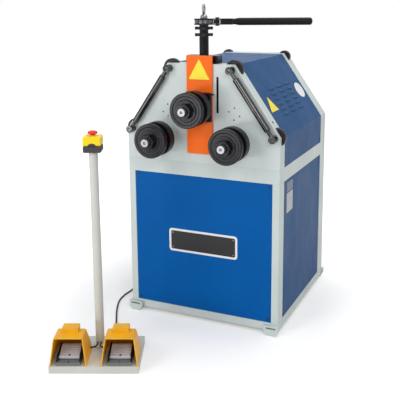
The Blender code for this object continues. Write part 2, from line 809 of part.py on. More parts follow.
def face_plate(kit, machine):
    """The thick front plate with its shaft bosses, slide slot, scale slot and tapped holes."""
    half_neck = SLIDE_NECK_WIDTH / 2 + SLIDE_SLOT_MARGIN
    reach = SLIDE_NECK_HEIGHT / 2 + SLIDE_SLOT_MARGIN
    slot = rectangle(
        -half_neck, TOP_SHAFT_HEIGHT - reach - SLIDE_DOWN, half_neck, TOP_SHAFT_HEIGHT + reach + SLIDE_UP
    )
    half_scale = SCALE_SLOT_WIDTH / 2
    scale = rectangle(
        SCALE_SLOT_X - half_scale,
        TOP_SHAFT_HEIGHT - SCALE_SLOT_BELOW,
        SCALE_SLOT_X + half_scale,
        TOP_SHAFT_HEIGHT + SCALE_SLOT_ABOVE,
    )
    outlines = [head_points(0, SEAM_HEIGHT + CLEAR), slot, scale]
    for x, z in tapped_holes():
        for side in (-1, 1):
            outlines.append(circle_points(side * x, z, TAPPED_HOLE_RADIUS, SMALL // 2))
    plate = kit.piece(
        "face_plate", plate_mesh(outlines, "Y", 0, FACE_THICK), (0, 0, 0), machine, "face_paint"
    )
    bore = SHAFT_RADIUS + RUN_CLEAR
    for side in (-1, 1):
        front = (side * SHAFT_X, -BOSS_LENGTH, LOWER_SHAFT_HEIGHT)
        boss = rod_mesh(front, "Y", BOSS_LENGTH + JOIN_OVERLAP, BOSS_RADIUS, FINE)
        join(kit, plate, boss, machine)
        start = (side * SHAFT_X, -BOSS_LENGTH - CUT_OVERRUN, LOWER_SHAFT_HEIGHT)
        length = BOSS_LENGTH + FACE_THICK + 2 * CUT_OVERRUN
        cut(kit, plate, rod_mesh(start, "Y", length, bore, ROUND), machine)


def buffer(kit, name, radius, pivot, machine):
    edge = BUFFER_EDGE
    profile = [(0, BUFFER_THICK), (radius, BUFFER_THICK), (radius, edge), (radius - edge, 0), (0, 0)]
    turned(kit, name, profile, False, pivot, "Y", machine, "rubber", BUFFER_FACETS)


def corner_buffers(kit, machine):
    """Round black buffers between the plates at the head's corners."""
    upper, lower = post_centres()
    for side, word in ((-1, "left"), (1, "right")):
        for place, level in ((upper, "top"), (lower, "shoulder")):
            pivot = (side * place[0], FACE_THICK + 2 * CLEAR, place[1])
            name = "buffer_front_" + level + "_" + word
            buffer(kit, name, FRONT_BUFFER_RADIUS, pivot, machine)
        x, z = rear_buffer_centre()
        pivot = (side * x, rear_buffer_front(), z)
        buffer(kit, "buffer_rear_" + word, REAR_BUFFER_RADIUS, pivot, machine)


def hood(kit, machine):
    """The folded sheet hood over the head, open below and at both ends, with louvred sides."""
    low = SEAM_HEIGHT + CLEAR
    outer = head_points(HOOD_INSET, low)
    inner = head_points(HOOD_INSET + HOOD_SHEET, low)
    outline = outer[1:] + [outer[0], inner[0]] + inner[:0:-1]
    ends = (FRONT_POST_DEPTH + CLEAR, FRAME_DEPTH - REAR_POST_DEPTH - CLEAR)
    shell = kit.piece(
        "hood", plate_mesh([outline], "Y", ends[0], ends[1]), (0, 0, 0), machine, "panel_paint"
    )
    _, normal, _ = slope()
    lean = math.atan2(normal[1], normal[0])
    depth = HOOD_SHEET + 2 * CUT_OVERRUN
    for side in (-1, 1):
        bm = bmesh.new()
        for column in range(LOUVRE_COLUMNS):
            for row in range(LOUVRE_ROWS):
                x, z = on_slope(LOUVRE_FIRST_ROW + row * LOUVRE_ROW_STEP, HOOD_INSET)
                y = LOUVRE_FIRST_COLUMN + column * LOUVRE_COLUMN_STEP
                size = Matrix.Diagonal((depth, LOUVRE_LENGTH, LOUVRE_WIDTH, 1))
                turn = Matrix.Rotation(-lean, 4, "Y")
                spot = Matrix.Translation((x, y, z)) @ turn @ size
                if side < 0:
                    spot = Matrix.Diagonal((-1, 1, 1, 1)) @ spot
                bmesh.ops.create_cube(bm, size=1.0, matrix=spot)
        cut(kit, shell, mesh_from(bm), machine)
    # A notch in the roof's front edge, under the crosshead, clears the lift nut's collar.
    reach = THRUST_COLLAR_RADIUS + 2 * RUN_CLEAR
    notch = box_mesh(
        (-reach, ends[0] - CUT_OVERRUN, HEAD_HEIGHT - HOOD_INSET - HOOD_SHEET - CUT_OVERRUN),
        (reach, SCREW_Y + reach, HEAD_HEIGHT + CUT_OVERRUN),
    )
    cut(kit, shell, notch, machine)


def panels(kit, machine):
    """The removable sheet panels: front, both sides, lower rear and upper rear."""
    half = HALF_WIDTH - POST_WIDTH - CLEAR
    low = SILL_HEIGHT + CLEAR
    high = WINDOW_TOP - CLEAR
    near = PANEL_INSET
    far = PANEL_INSET + PANEL_SHEET
    front = box_mesh((-half, near, low), (half, far, high))
    kit.piece("front_panel", front, (0, 0, 0), machine, "front_paint")
    rear = box_mesh((-half, FRAME_DEPTH - far, low), (half, FRAME_DEPTH - near, high))
    kit.piece("rear_panel", rear, (0, 0, 0), machine, "panel_paint")
    cover = head_points(REAR_RIM + CLEAR, SEAM_HEIGHT - LEDGE + CLEAR)
    top = plate_mesh([cover], "Y", FRAME_DEPTH - far, FRAME_DEPTH - near)
    kit.piece("rear_head_panel", top, (0, 0, 0), machine, "panel_paint")
    ends = (FRONT_POST_DEPTH + CLEAR, FRAME_DEPTH - REAR_POST_DEPTH - CLEAR)
    for side, word in ((-1, "left"), (1, "right")):
        across = sorted((side * (HALF_WIDTH - near), side * (HALF_WIDTH - far)))
        mesh = box_mesh((across[0], ends[0], low), (across[1], ends[1], high))
        panel = kit.piece("side_panel_" + word, mesh, (0, 0, 0), machine, "panel_paint")
        if side < 0:
            start = (-HALF_WIDTH - CUT_OVERRUN, GLAND_Y, GLAND_Z)
            hole = GLAND_NECK_RADIUS + CLEAR
            cut(kit, panel, rod_mesh(start, "X", PANEL_HOLE_CUT, hole, SMALL), machine)


def guide_rods(kit, machine):
    """The round rods beside the face, each necked at both ends and held in two cross-bored posts."""
    upper, lower = post_centres()
    span = math.dist(upper, lower)
    lean = math.atan2(lower[0] - upper[0], upper[1] - lower[1])
    for side, word in ((-1, "left"), (1, "right")):
        x, z = side * lower[0], lower[1]
        neck_end = span - ROD_NECK_LENGTH - ROD_POST_RADIUS
        neck_start = ROD_NECK_LENGTH + ROD_POST_RADIUS
        edge = ROD_RADIUS - ROD_NECK_RADIUS
        profile = [
            (0, span),
            (ROD_NECK_RADIUS, span),
            (ROD_NECK_RADIUS, neck_end),
            (ROD_RADIUS, neck_end - edge / 2),
            (ROD_RADIUS, neck_start + edge / 2),
            (ROD_NECK_RADIUS, neck_start),
            (ROD_NECK_RADIUS, 0),
            (0, 0),
        ]
        pivot = (x, -ROD_STANDOFF, z)
        rod = turned(
            kit, "guide_rod_" + word, profile, False, pivot, "Z", machine, "black_steel", SMALL
        )
        rod.rotation_euler = (0, -side * lean, 0)
        for place in (upper, lower):
            start = (side * place[0], -CLEAR - ROD_POST_LENGTH, place[1])
            post = rod_mesh(start, "Y", ROD_POST_LENGTH, ROD_POST_RADIUS, ROD_POST_FACETS)
            join(kit, rod, post, machine)


def shaft_profile(front_face_gap, rear):
    """A roll shaft: threaded end, roll seat, thrust collar and long journal."""
    seat = ROLL_FRONT + CLEAR
    collar_rear = -front_face_gap - RUN_CLEAR
    edge = SHAFT_CHAMFER
    return [
        (0, rear),
        (SHAFT_RADIUS - edge, rear),
        (SHAFT_RADIUS, rear - edge),
        (SHAFT_RADIUS, collar_rear),
        (COLLAR_RADIUS, collar_rear),
        (COLLAR_RADIUS, ROLL_REAR + CLEAR),
        (SHAFT_RADIUS, ROLL_REAR + CLEAR),
        (SHAFT_RADIUS, seat),
        (SHAFT_END_RADIUS, seat),
        (SHAFT_END_RADIUS, SHAFT_FRONT + edge),
        (SHAFT_END_RADIUS - edge, SHAFT_FRONT),
        (0, SHAFT_FRONT),
    ]


def roll_profile():
    """A section roll with two discs, a groove between them and a raised hub face."""
    bore = SHAFT_RADIUS + CLEAR
    edge = ROLL_CHAMFER
    return [
        (ROLL_RADIUS - edge, ROLL_REAR),
        (ROLL_RADIUS, ROLL_REAR - edge),
        (ROLL_RADIUS, ROLL_REAR - ROLL_REAR_DISC + edge),
        (ROLL_RADIUS - edge, ROLL_REAR - ROLL_REAR_DISC),
        (ROLL_GROOVE_RADIUS, ROLL_REAR - ROLL_REAR_DISC),
        (ROLL_GROOVE_RADIUS, ROLL_FRONT + ROLL_FRONT_DISC),
        (ROLL_RADIUS - edge, ROLL_FRONT + ROLL_FRONT_DISC),
        (ROLL_RADIUS, ROLL_FRONT + ROLL_FRONT_DISC - edge),
        (ROLL_RADIUS, ROLL_FRONT + edge),
        (ROLL_RADIUS - edge, ROLL_FRONT),
        (bore, ROLL_FRONT),
        (bore, ROLL_REAR),
    ]


def roll_nut(kit, word, pivot, carrier):
    """The hex nut with its washer, which clamps the roll on its shaft."""
    seat = ROLL_FRONT - CLEAR
    washer_front = seat - WASHER_THICK
    front = washer_front - NUT_THICK
    profile = [(0, seat), (WASHER_RADIUS, seat), (WASHER_RADIUS, washer_front), (0, washer_front)]
    nut = turned(kit, word + "_roll_nut", profile, False, pivot, "Y", carrier, "black_steel")
    corner = NUT_ACROSS_FLATS / math.sqrt(3)
    outline = circle_points(0, 0, corner, NUT_SIDES, NUT_TURN)
    hexagon = plate_mesh([outline], "Y", front, washer_front + WASHER_THICK / 2)
    hexagon.transform(Matrix.Translation(Vector(pivot)))
    join(kit, nut, hexagon, carrier)
    start = Vector(pivot) + Vector((0, front - CUT_OVERRUN, 0))
    length = WASHER_THICK + NUT_THICK + 2 * CUT_OVERRUN
    cut(kit, nut, rod_mesh(start, "Y", length, SHAFT_END_RADIUS + CLEAR, ROUND), carrier)


def roll_set(kit, word, pivot, carrier, front_face_gap, rear):
    """One roll with its shaft and nut; pivot lies on the axis at the machine's front plane."""
    profile = shaft_profile(front_face_gap, rear)
    turned(kit, word + "_shaft", profile, False, pivot, "Y", carrier, "bright_steel")
    turned(kit, word + "_roll", roll_profile(), True, pivot, "Y", carrier, "roll_steel", FINE)
    roll_nut(kit, word, pivot, carrier)


def gear_points(teeth, start):
    """A gear's outline: straight-flanked teeth on a module, with backlash."""
    pitch = GEAR_MODULE * teeth / 2
    tip = pitch + GEAR_MODULE * ADDENDUM_SHARE
    root = pitch - GEAR_MODULE * DEDENDUM_SHARE
    step = math.tau / teeth
    half_tip = TOOTH_TIP_SHARE * step / 2
    half_root = TOOTH_ROOT_SHARE * step / 2
    points = []
    for tooth in range(teeth):
        middle = start + tooth * step
        for radius, angle in (
            (root, middle - half_root),
            (tip, middle - half_tip),
            (tip, middle + half_tip),
            (root, middle + half_root),
        ):
            points.append((radius * math.cos(angle), radius * math.sin(angle)))
    return points


def gears(kit, left, right, pinion):
    """Two shaft gears and the pinion below that drives both the same way."""
    high = LOWER_SHAFT_HEIGHT
    low = pinion_height()
    # A tooth of the left gear meets a gap of the pinion on their line of centres, and the right
    # gear is turned to fit the pinion's teeth where the other line of centres crosses them.
    toward = math.atan2(low - high, SHAFT_X)
    spread = math.pi + 2 * toward
    starts = {-1: toward, 1: math.pi - toward - spread * PINION_TEETH / GEAR_TEETH}
    for carrier, side, word in ((left, -1, "left"), (right, 1, "right")):
        outline = gear_points(GEAR_TEETH, starts[side])
        wheel = plate_mesh([outline], "Y", GEAR_FRONT, GEAR_FRONT + GEAR_FACE)
        wheel.transform(Matrix.Translation((side * SHAFT_X, 0, high)))
        gear = kit.piece(word + "_gear", wheel, (side * SHAFT_X, 0, high), carrier, "gear_steel")
        start = (side * SHAFT_X, GEAR_FRONT - GEAR_HUB_LENGTH, high)
        hub_length = GEAR_HUB_LENGTH + JOIN_OVERLAP
        join(kit, gear, rod_mesh(start, "Y", hub_length, GEAR_HUB_RADIUS, ROUND), carrier)
        start = (side * SHAFT_X, GEAR_FRONT - GEAR_HUB_LENGTH - CUT_OVERRUN, high)
        length = GEAR_HUB_LENGTH + GEAR_FACE + 2 * CUT_OVERRUN
        cut(kit, gear, rod_mesh(start, "Y", length, SHAFT_RADIUS + CLEAR, ROUND), carrier)

    step = math.tau / PINION_TEETH
    outline = gear_points(PINION_TEETH, math.pi + toward - step / 2)
    wheel = plate_mesh([outline], "Y", GEAR_FRONT, GEAR_FRONT + GEAR_FACE)
    wheel.transform(Matrix.Translation((0, 0, low)))
    body = kit.piece("drive_pinion", wheel, (0, 0, low), pinion, "gear_steel")
    start = (0, GEAR_FRONT + GEAR_FACE - JOIN_OVERLAP, low)
    shaft = rod_mesh(start, "Y", PINION_SHAFT_REAR - start[1], PINION_SHAFT_RADIUS, ROUND)
    join(kit, body, shaft, pinion)


def bearing_plate(kit, machine):
    """The inner plate behind the gears, held off the front slab by four stays."""
    base = HALF_WIDTH - BEARING_PLATE_SIDE_ROOM
    top = HALF_TOP - BEARING_PLATE_TOP_ROOM
    low = LOWER_SHAFT_HEIGHT - BEARING_PLATE_BELOW
    shoulder = low + BEARING_PLATE_STRAIGHT
    high = LOWER_SHAFT_HEIGHT + BEARING_PLATE_ABOVE
    outline = [
        (-base, low),
        (base, low),
        (base, shoulder),
        (top, high),
        (-top, high),
        (-base, shoulder),
    ]
    outlines = [
        outline,
        circle_points(SHAFT_X, LOWER_SHAFT_HEIGHT, SHAFT_RADIUS + RUN_CLEAR, ROUND),
        circle_points(-SHAFT_X, LOWER_SHAFT_HEIGHT, SHAFT_RADIUS + RUN_CLEAR, ROUND),
        circle_points(0, pinion_height(), PINION_SHAFT_RADIUS + RUN_CLEAR, ROUND),
    ]
    rear = BEARING_PLATE_FRONT + BEARING_PLATE_THICK
    plate = kit.piece(
        "rear_bearing_plate",
        plate_mesh(outlines, "Y", BEARING_PLATE_FRONT, rear),
        (0, 0, 0),
        machine,
        "gear_steel",
    )
    start = FRONT_POST_DEPTH + CLEAR
    length = BEARING_PLATE_FRONT + JOIN_OVERLAP - start
    stays = ((base - STAY_INSET, low + STAY_INSET), (top - STAY_TOP_INSET, high - STAY_INSET))
    for side in (-1, 1):
        for x, z in stays:
            stay = rod_mesh((side * x, start, z), "Y", length, STAY_RADIUS, STAY_FACETS)
            join(kit, plate, stay, machine)


def gearmotor(kit, machine):
    """The gearbox on the bearing plate, with the motor hanging below it."""
    front = BEARING_PLATE_FRONT + BEARING_PLATE_THICK + CLEAR
    middle = pinion_height()
    half = GEARBOX_WIDTH / 2
    low = middle - GEARBOX_HEIGHT / 2
    high = middle + GEARBOX_HEIGHT / 2
    rear = front + GEARBOX_DEPTH
    block = box_mesh((-half, front, low), (half, rear, high))
    case = kit.piece("gearbox", block, (0, 0, 0), machine, "gearbox_paint")
    bevel(case, GEARBOX_EDGE)
    length = PINION_SHAFT_REAR + CLEAR - front + CUT_OVERRUN
    start = (0, front - CUT_OVERRUN, middle)
    bore = PINION_SHAFT_RADIUS + RUN_CLEAR
    cut(kit, case, rod_mesh(start, "Y", length, bore, ROUND), machine)

    # The motor is turned downwards from its flange to the fan cowl.
    base = -MOTOR_LENGTH
    profile = [
        (0, 0),
        (MOTOR_FLANGE_RADIUS, 0),
        (MOTOR_FLANGE_RADIUS, -MOTOR_FLANGE_THICK),
        (MOTOR_RADIUS, -MOTOR_FLANGE_THICK),
        (MOTOR_RADIUS, base + MOTOR_COWL_LENGTH),
        (MOTOR_COWL_RADIUS, base + MOTOR_COWL_LENGTH),
        (MOTOR_COWL_RADIUS, base + MOTOR_EDGE),
        (MOTOR_COWL_RADIUS - MOTOR_EDGE, base),
        (0, base),
    ]
    pivot = (0, (front + rear) / 2, low - CLEAR)
    turned(kit, "motor", profile, False, pivot, "Z", machine, "gearbox_paint")


def control_box(kit, machine):
    """The electrical box on the left side panel, and the gland that the stand's cable leaves by."""
    outer = -HALF_WIDTH + PANEL_INSET + PANEL_SHEET + CLEAR
    mesh = box_mesh(
        (outer, CONTROL_BOX_FRONT, CONTROL_BOX_LOW),
        (outer + CONTROL_BOX_DEPTH, CONTROL_BOX_REAR, CONTROL_BOX_HIGH),
    )
    box = kit.piece("control_box", mesh, (0, 0, 0), machine, "gearbox_paint")
    bevel(box, CONTROL_BOX_EDGE)
    panel_face = -HALF_WIDTH + PANEL_INSET
    neck_start = outer - CLEAR
    tip = panel_face - CLEAR - GLAND_LENGTH
    profile = [
        (GLAND_NECK_RADIUS, neck_start),
        (GLAND_NECK_RADIUS, panel_face - CLEAR),
        (GLAND_RADIUS, panel_face - CLEAR),
        (GLAND_RADIUS, panel_face - CLEAR - GLAND_FLANGE),
        (GLAND_NECK_RADIUS, tip),
        (GLAND_BORE_RADIUS, tip),
        (GLAND_BORE_RADIUS, tip + GLAND_BORE_DEPTH),
        (0, tip + GLAND_BORE_DEPTH),
    ]
    profile.insert(0, (0, neck_start))
    pivot = (0, GLAND_Y, GLAND_Z)
    turned(kit, "cable_gland", profile, False, pivot, "X", machine, "black_plastic", SMALL)


def top_slide(kit, slide, roller):
    """The orange cover, bearing block, pointer, guided slide block and lift screw."""
    pivot = (0, 0, TOP_SHAFT_HEIGHT)
    half = COVER_WIDTH / 2
    gap = RUN_CLEAR
    cover = plate_mesh(
        [
            rectangle(-half, COVER_LOW, half, COVER_HIGH),
            circle_points(0, TOP_SHAFT_HEIGHT, SHAFT_RADIUS + RUN_CLEAR, ROUND),
        ],
        "Y",
        -gap - COVER_THICK,
        -gap,
    )
    kit.piece("slide_cover", cover, pivot, slide, "orange_paint")

    face = -gap - COVER_THICK - CLEAR
    block_half = BEARING_BLOCK_WIDTH / 2
    block_reach = BEARING_BLOCK_HEIGHT / 2
    block_mesh = box_mesh(
        (-block_half, face - BEARING_BLOCK_THICK, TOP_SHAFT_HEIGHT - block_reach),
        (block_half, face, TOP_SHAFT_HEIGHT + block_reach),
    )
    block = kit.piece("top_bearing_block", block_mesh, pivot, slide, "black_steel")
    bevel(block, BEARING_BLOCK_EDGE)
    start = (0, face - BEARING_BLOCK_THICK - CUT_OVERRUN, TOP_SHAFT_HEIGHT)
    through = BEARING_BLOCK_THICK + 2 * CUT_OVERRUN
    cut(kit, block, rod_mesh(start, "Y", through, SHAFT_RADIUS + RUN_CLEAR, ROUND), slide)
    pointer_top = TOP_SHAFT_HEIGHT + block_reach - POINTER_DROP
    pointer = box_mesh(
        (-POINTER_WIDTH / 2, face - POINTER_THICK, pointer_top - POINTER_HEIGHT),
        (POINTER_WIDTH / 2, face - CLEAR, pointer_top),
    )
    join(kit, block, pointer, slide)

    # The slide block runs in the front slab's channel and is wider behind it.
    narrow = SLIDE_BLOCK_WIDTH / 2
    wide = SLIDE_BLOCK_WIDE / 2
    neck = SLIDE_NECK_WIDTH / 2
    front = FACE_THICK + RUN_CLEAR
    behind = FRONT_POST_DEPTH + RUN_CLEAR
    rear = SLIDE_BLOCK_REAR
    carriage = box_mesh((-wide, behind, SLIDE_BLOCK_LOW), (wide, rear, SLIDE_BLOCK_HIGH))
    body = kit.piece("slide_block", carriage, pivot, slide, "gear_steel")
    lap = behind + JOIN_OVERLAP
    tongue = box_mesh((-narrow, front, SLIDE_BLOCK_LOW), (narrow, lap, SLIDE_BLOCK_HIGH))
    join(kit, body, tongue, slide)
    neck_reach = SLIDE_NECK_HEIGHT / 2
    neck_mesh = box_mesh(
        (-neck, -gap + CLEAR, TOP_SHAFT_HEIGHT - neck_reach),
        (neck, front + JOIN_OVERLAP, TOP_SHAFT_HEIGHT + neck_reach),
    )
    join(kit, body, neck_mesh, slide)
    start = (0, -CUT_OVERRUN, TOP_SHAFT_HEIGHT)
    through = SLIDE_BLOCK_REAR + 2 * CUT_OVERRUN
    cut(kit, body, rod_mesh(start, "Y", through, SHAFT_RADIUS + RUN_CLEAR, ROUND), slide)
    seat = (0, SCREW_Y, SLIDE_BLOCK_HIGH - SCREW_SEAT)
    cut(kit, body, rod_mesh(seat, "Z", SCREW_SEAT + CUT_OVERRUN, SCREW_RADIUS + CLEAR, ROUND), slide)

    base = SLIDE_BLOCK_HIGH - SCREW_SEAT + CLEAR - TOP_SHAFT_HEIGHT
    top = SCREW_TOP - TOP_SHAFT_HEIGHT
    edge = SHAFT_CHAMFER
    profile = [
        (0, top),
        (SCREW_RADIUS - edge, top),
        (SCREW_RADIUS, top - edge),
        (SCREW_RADIUS, base),
        (0, base),
    ]
    turned(
        kit, "lift_screw", profile, False, (0, SCREW_Y, TOP_SHAFT_HEIGHT), "Z", slide, "bright_steel"
    )
    roll_set(kit, "top", pivot, roller, -face + BEARING_BLOCK_THICK, SLIDE_BLOCK_REAR - CLEAR)


def crosshead(kit, machine):
    """The black bridge on the head's top, which holds the lift nut up and down."""
    base = HEAD_HEIGHT + CLEAR
    top = base + CROSSHEAD_HEIGHT
    half = CROSSHEAD_WIDTH / 2
    depth = CROSSHEAD_DEPTH / 2
    mesh = box_mesh((-half, SCREW_Y - depth, base), (half, SCREW_Y + depth, top))
    bridge = kit.piece("crosshead", mesh, (0, 0, 0), machine, "black_steel")
    bevel(bridge, CROSSHEAD_EDGE)
    length = CROSSHEAD_HEIGHT + 2 * CUT_OVERRUN
    start = (0, SCREW_Y, base - CUT_OVERRUN)
    cut(kit, bridge, rod_mesh(start, "Z", length, NUT_TUBE_RADIUS + RUN_CLEAR, ROUND), machine)
    seat = (0, SCREW_Y, top - NUT_FLANGE_THICK - CLEAR)
    sunk = NUT_FLANGE_THICK + CUT_OVERRUN
    cut(kit, bridge, rod_mesh(seat, "Z", sunk, NUT_FLANGE_RADIUS + RUN_CLEAR, ROUND), machine)


def lift_nut(kit, nut):
    """The rotating nut tube with its clamp screws, thrust collar, ratchet wheel and lifting eye."""
    pivot = (0, SCREW_Y, NUT_TUBE_TOP)
    bottom = HEAD_HEIGHT - CLEAR - THRUST_COLLAR_THICK
    flange_top = HEAD_HEIGHT + CLEAR + CROSSHEAD_HEIGHT
    flange_low = flange_top - NUT_FLANGE_THICK
    bore = SCREW_RADIUS + RUN_CLEAR
    edge = SHAFT_CHAMFER / 2
    outer = [
        (0, NUT_TUBE_TOP),
        (NUT_TUBE_RADIUS - edge, NUT_TUBE_TOP),
        (NUT_TUBE_RADIUS, NUT_TUBE_TOP - edge),
        (NUT_TUBE_RADIUS, flange_top),
        (NUT_FLANGE_RADIUS, flange_top),
        (NUT_FLANGE_RADIUS, flange_low),
        (NUT_TUBE_RADIUS, flange_low),
        (NUT_TUBE_RADIUS, bottom),
        (bore, bottom),
        (bore, NUT_TUBE_BORE_TOP),
        (0, NUT_TUBE_BORE_TOP),
    ]
    profile = [(radius, height - NUT_TUBE_TOP) for radius, height in outer]
    tube = turned(kit, "lift_nut_tube", profile, False, pivot, "Z", nut, "black_steel")
    for row in range(CLAMP_ROWS):
        level = NUT_TUBE_TOP - CLAMP_DROP + row * CLAMP_STEP
        for number in range(CLAMP_COUNT):
            turn = Matrix.Rotation(STAND_TURN + math.tau * number / CLAMP_COUNT, 4, "Z")
            spot = Matrix.Translation((0, SCREW_Y, level)) @ turn
            shank_start = (NUT_TUBE_RADIUS - JOIN_OVERLAP, 0, 0)
            head_start = (CLAMP_REACH - CLAMP_HEAD_LENGTH, 0, 0)
            shank_length = head_start[0] + JOIN_OVERLAP - shank_start[0]
            shank = rod_mesh(shank_start, "X", shank_length, CLAMP_SHANK_RADIUS, CLAMP_FACETS)
            head = rod_mesh(head_start, "X", CLAMP_HEAD_LENGTH, CLAMP_HEAD_RADIUS, CLAMP_FACETS)
            for mesh in (shank, head):
                mesh.transform(spot)
                join(kit, tube, mesh, nut)

    ring = [
        (THRUST_COLLAR_RADIUS, bottom + THRUST_COLLAR_THICK),
        (THRUST_COLLAR_RADIUS, bottom),
        (NUT_TUBE_RADIUS + CLEAR, bottom),
        (NUT_TUBE_RADIUS + CLEAR, bottom + THRUST_COLLAR_THICK),
    ]
    collar = [(radius, height - NUT_TUBE_TOP) for radius, height in ring]
    turned(kit, "thrust_collar", collar, True, pivot, "Z", nut, "black_steel")

    points = []
    step = math.tau / WHEEL_TEETH
    half_gap = WHEEL_GAP_SHARE * step / 2
    for tooth in range(WHEEL_TEETH):
        gap = HANDLE_TURN + tooth * step
        for radius, angle in (
            (WHEEL_ROOT_RADIUS, gap - half_gap / 2),
            (WHEEL_ROOT_RADIUS, gap + half_gap / 2),
            (WHEEL_RADIUS, gap + half_gap),
            (WHEEL_RADIUS, gap + step - half_gap),
        ):
            points.append((radius * math.cos(angle), radius * math.sin(angle)))
    hole = circle_points(0, 0, NUT_TUBE_RADIUS + CLEAR, ROUND)
    wheel = plate_mesh([points, hole], "Z", WHEEL_LOW, WHEEL_LOW + WHEEL_THICK)
    wheel.transform(Matrix.Translation((0, SCREW_Y, 0)))
    kit.piece("ratchet_wheel", wheel, pivot, nut, "gear_steel")
    lifting_eye(kit, nut, pivot)


def lifting_eye(kit, nut, pivot):
    """A forged eye on a round collar, screwed into the tube's closed top."""
    top = CLEAR + EYE_COLLAR_HEIGHT
    profile = [
        (EYE_COLLAR_RADIUS * out, CLEAR + EYE_COLLAR_HEIGHT * up) for out, up in EYE_COLLAR_SHARES
    ]
    eye = turned(kit, "lifting_eye", profile, False, pivot, "Z", nut, "black_steel", ROUND)
    circle = bpy.data.curves.new("eye", "CURVE")
    circle.dimensions = "3D"
    circle.bevel_depth = EYE_WIRE_RADIUS
    circle.bevel_resolution = 2
    spline = circle.splines.new("POLY")
    points = circle_points(0, 0, EYE_RING_RADIUS, EYE_FACETS)
    spline.points.add(len(points) - 1)
    for point, (across, up) in zip(spline.points, points):
        point.co = (0, across, up, 1)
    spline.use_cyclic_u = True
    ring = welded_mesh(circle)
    height = NUT_TUBE_TOP + top + EYE_RING_RADIUS + EYE_WIRE_RADIUS - EYE_RING_SINK
    spot = Matrix.Translation((0, SCREW_Y, height)) @ Matrix.Rotation(EYE_TURN, 4, "Z")
    ring.transform(spot)
    join(kit, eye, ring, nut)


def ratchet_handle(kit, handle, pawl):
    """Two cheeks round the ratchet wheel, the neck and the grip, with the pawl on its pin."""
    pivot = (0, SCREW_Y, NUT_TUBE_TOP)
    middle = WHEEL_LOW + WHEEL_THICK / 2
    gap_low = WHEEL_LOW - CHEEK_GAP
    gap_high = WHEEL_LOW + WHEEL_THICK + CHEEK_GAP
    turn = Matrix.Translation((0, SCREW_Y, 0)) @ Matrix.Rotation(HANDLE_TURN, 4, "Z")
    half = HANDLE_NECK_WIDTH / 2
    meet = math.asin(half / CHEEK_RADIUS)
    arc = [
        (CHEEK_RADIUS * math.cos(angle), CHEEK_RADIUS * math.sin(angle))
        for angle in [meet + (math.tau - 2 * meet) * i / ROUND for i in range(ROUND + 1)]
    ]
    blank = arc + [(HANDLE_GRIP_START, -half), (HANDLE_GRIP_START, half)]
    hole = circle_points(0, 0, NUT_TUBE_RADIUS + 2 * RUN_CLEAR, ROUND)
    thick = (gap_low - CHEEK_THICK, gap_high + CHEEK_THICK)
    mesh = plate_mesh([blank, hole], "Z", thick[0], thick[1])
    mesh.transform(turn)
    fork = kit.piece("handle_fork", mesh, pivot, handle, "black_steel")
    reach = CHEEK_RADIUS + CUT_OVERRUN
    space = box_mesh((-reach, -reach, gap_low), (HANDLE_NECK_START, reach, gap_high))
    space.transform(turn)
    cut(kit, fork, space, handle)
    pin_hole = rod_mesh(
        (PAWL_PIVOT, 0, thick[0] - CUT_OVERRUN),
        "Z",
        thick[1] - thick[0] + 2 * CUT_OVERRUN,
        PAWL_PIN_RADIUS + RUN_CLEAR,
        SMALL,
    )
    pin_hole.transform(turn)
    cut(kit, fork, pin_hole, handle)
    tang_start = (HANDLE_GRIP_START - JOIN_OVERLAP, 0, middle)
    tang = rod_mesh(tang_start, "X", HANDLE_TANG_LENGTH, HANDLE_TANG_RADIUS, SMALL)
    tang.transform(turn)
    join(kit, fork, tang, handle)

    length = HANDLE_REACH - HANDLE_GRIP_START
    radius = HANDLE_GRIP_RADIUS
    edge = HANDLE_GRIP_ROUND
    sunk = HANDLE_TANG_LENGTH - JOIN_OVERLAP
    bore = HANDLE_TANG_RADIUS + CLEAR
    profile = [
        (0, length),
        (radius - edge, length),
        (radius, length - edge),
        (radius, edge),
        (radius - edge / 2, CLEAR),
        (bore, CLEAR),
        (bore, sunk + CLEAR),
        (0, sunk + CLEAR),
    ]
    start = turn @ Vector((HANDLE_GRIP_START, 0, middle))
    grip = turned(kit, "handle_grip", profile, False, start, "Z", handle, "black_plastic", ROUND)
    grip.rotation_euler = (Matrix.Rotation(HANDLE_TURN, 4, "Z") @ ALONG["X"]).to_euler()

    # The pawl's flat nose clears the wheel; tipped 30 degrees, one corner drops between two teeth.
    outline = [
        (PAWL_PIVOT - PAWL_NOSE, -PAWL_NOSE_HALF),
        (PAWL_PIVOT, -PAWL_NOSE_HALF),
        (PAWL_PIVOT + PAWL_BACK, -PAWL_NOSE_HALF / 2),
        (PAWL_PIVOT + PAWL_BACK, PAWL_NOSE_HALF / 2),
        (PAWL_PIVOT, PAWL_NOSE_HALF),
        (PAWL_PIVOT - PAWL_NOSE, PAWL_NOSE_HALF),
    ]
    place = turn @ Vector((PAWL_PIVOT, 0, middle))
    mesh = plate_mesh([outline], "Z", middle - PAWL_THICK / 2, middle + PAWL_THICK / 2)
    mesh.transform(turn)
    body = kit.piece("pawl", mesh, place, pawl, "bright_steel")
    pin_low = thick[0] - CLEAR
    pin_high = thick[1] + CLEAR
    reach = pin_high - pin_low + 2 * JOIN_OVERLAP
    for start, length, radius in (
        (pin_low - JOIN_OVERLAP, reach, PAWL_PIN_RADIUS),
        (pin_low - PAWL_HEAD_HEIGHT, PAWL_HEAD_HEIGHT, PAWL_HEAD_RADIUS),
        (pin_high, PAWL_HEAD_HEIGHT, PAWL_HEAD_RADIUS),
    ):
        mesh = rod_mesh((PAWL_PIVOT, 0, start), "Z", length, radius, SMALL)
        mesh.transform(turn)
        join(kit, body, mesh, pawl)


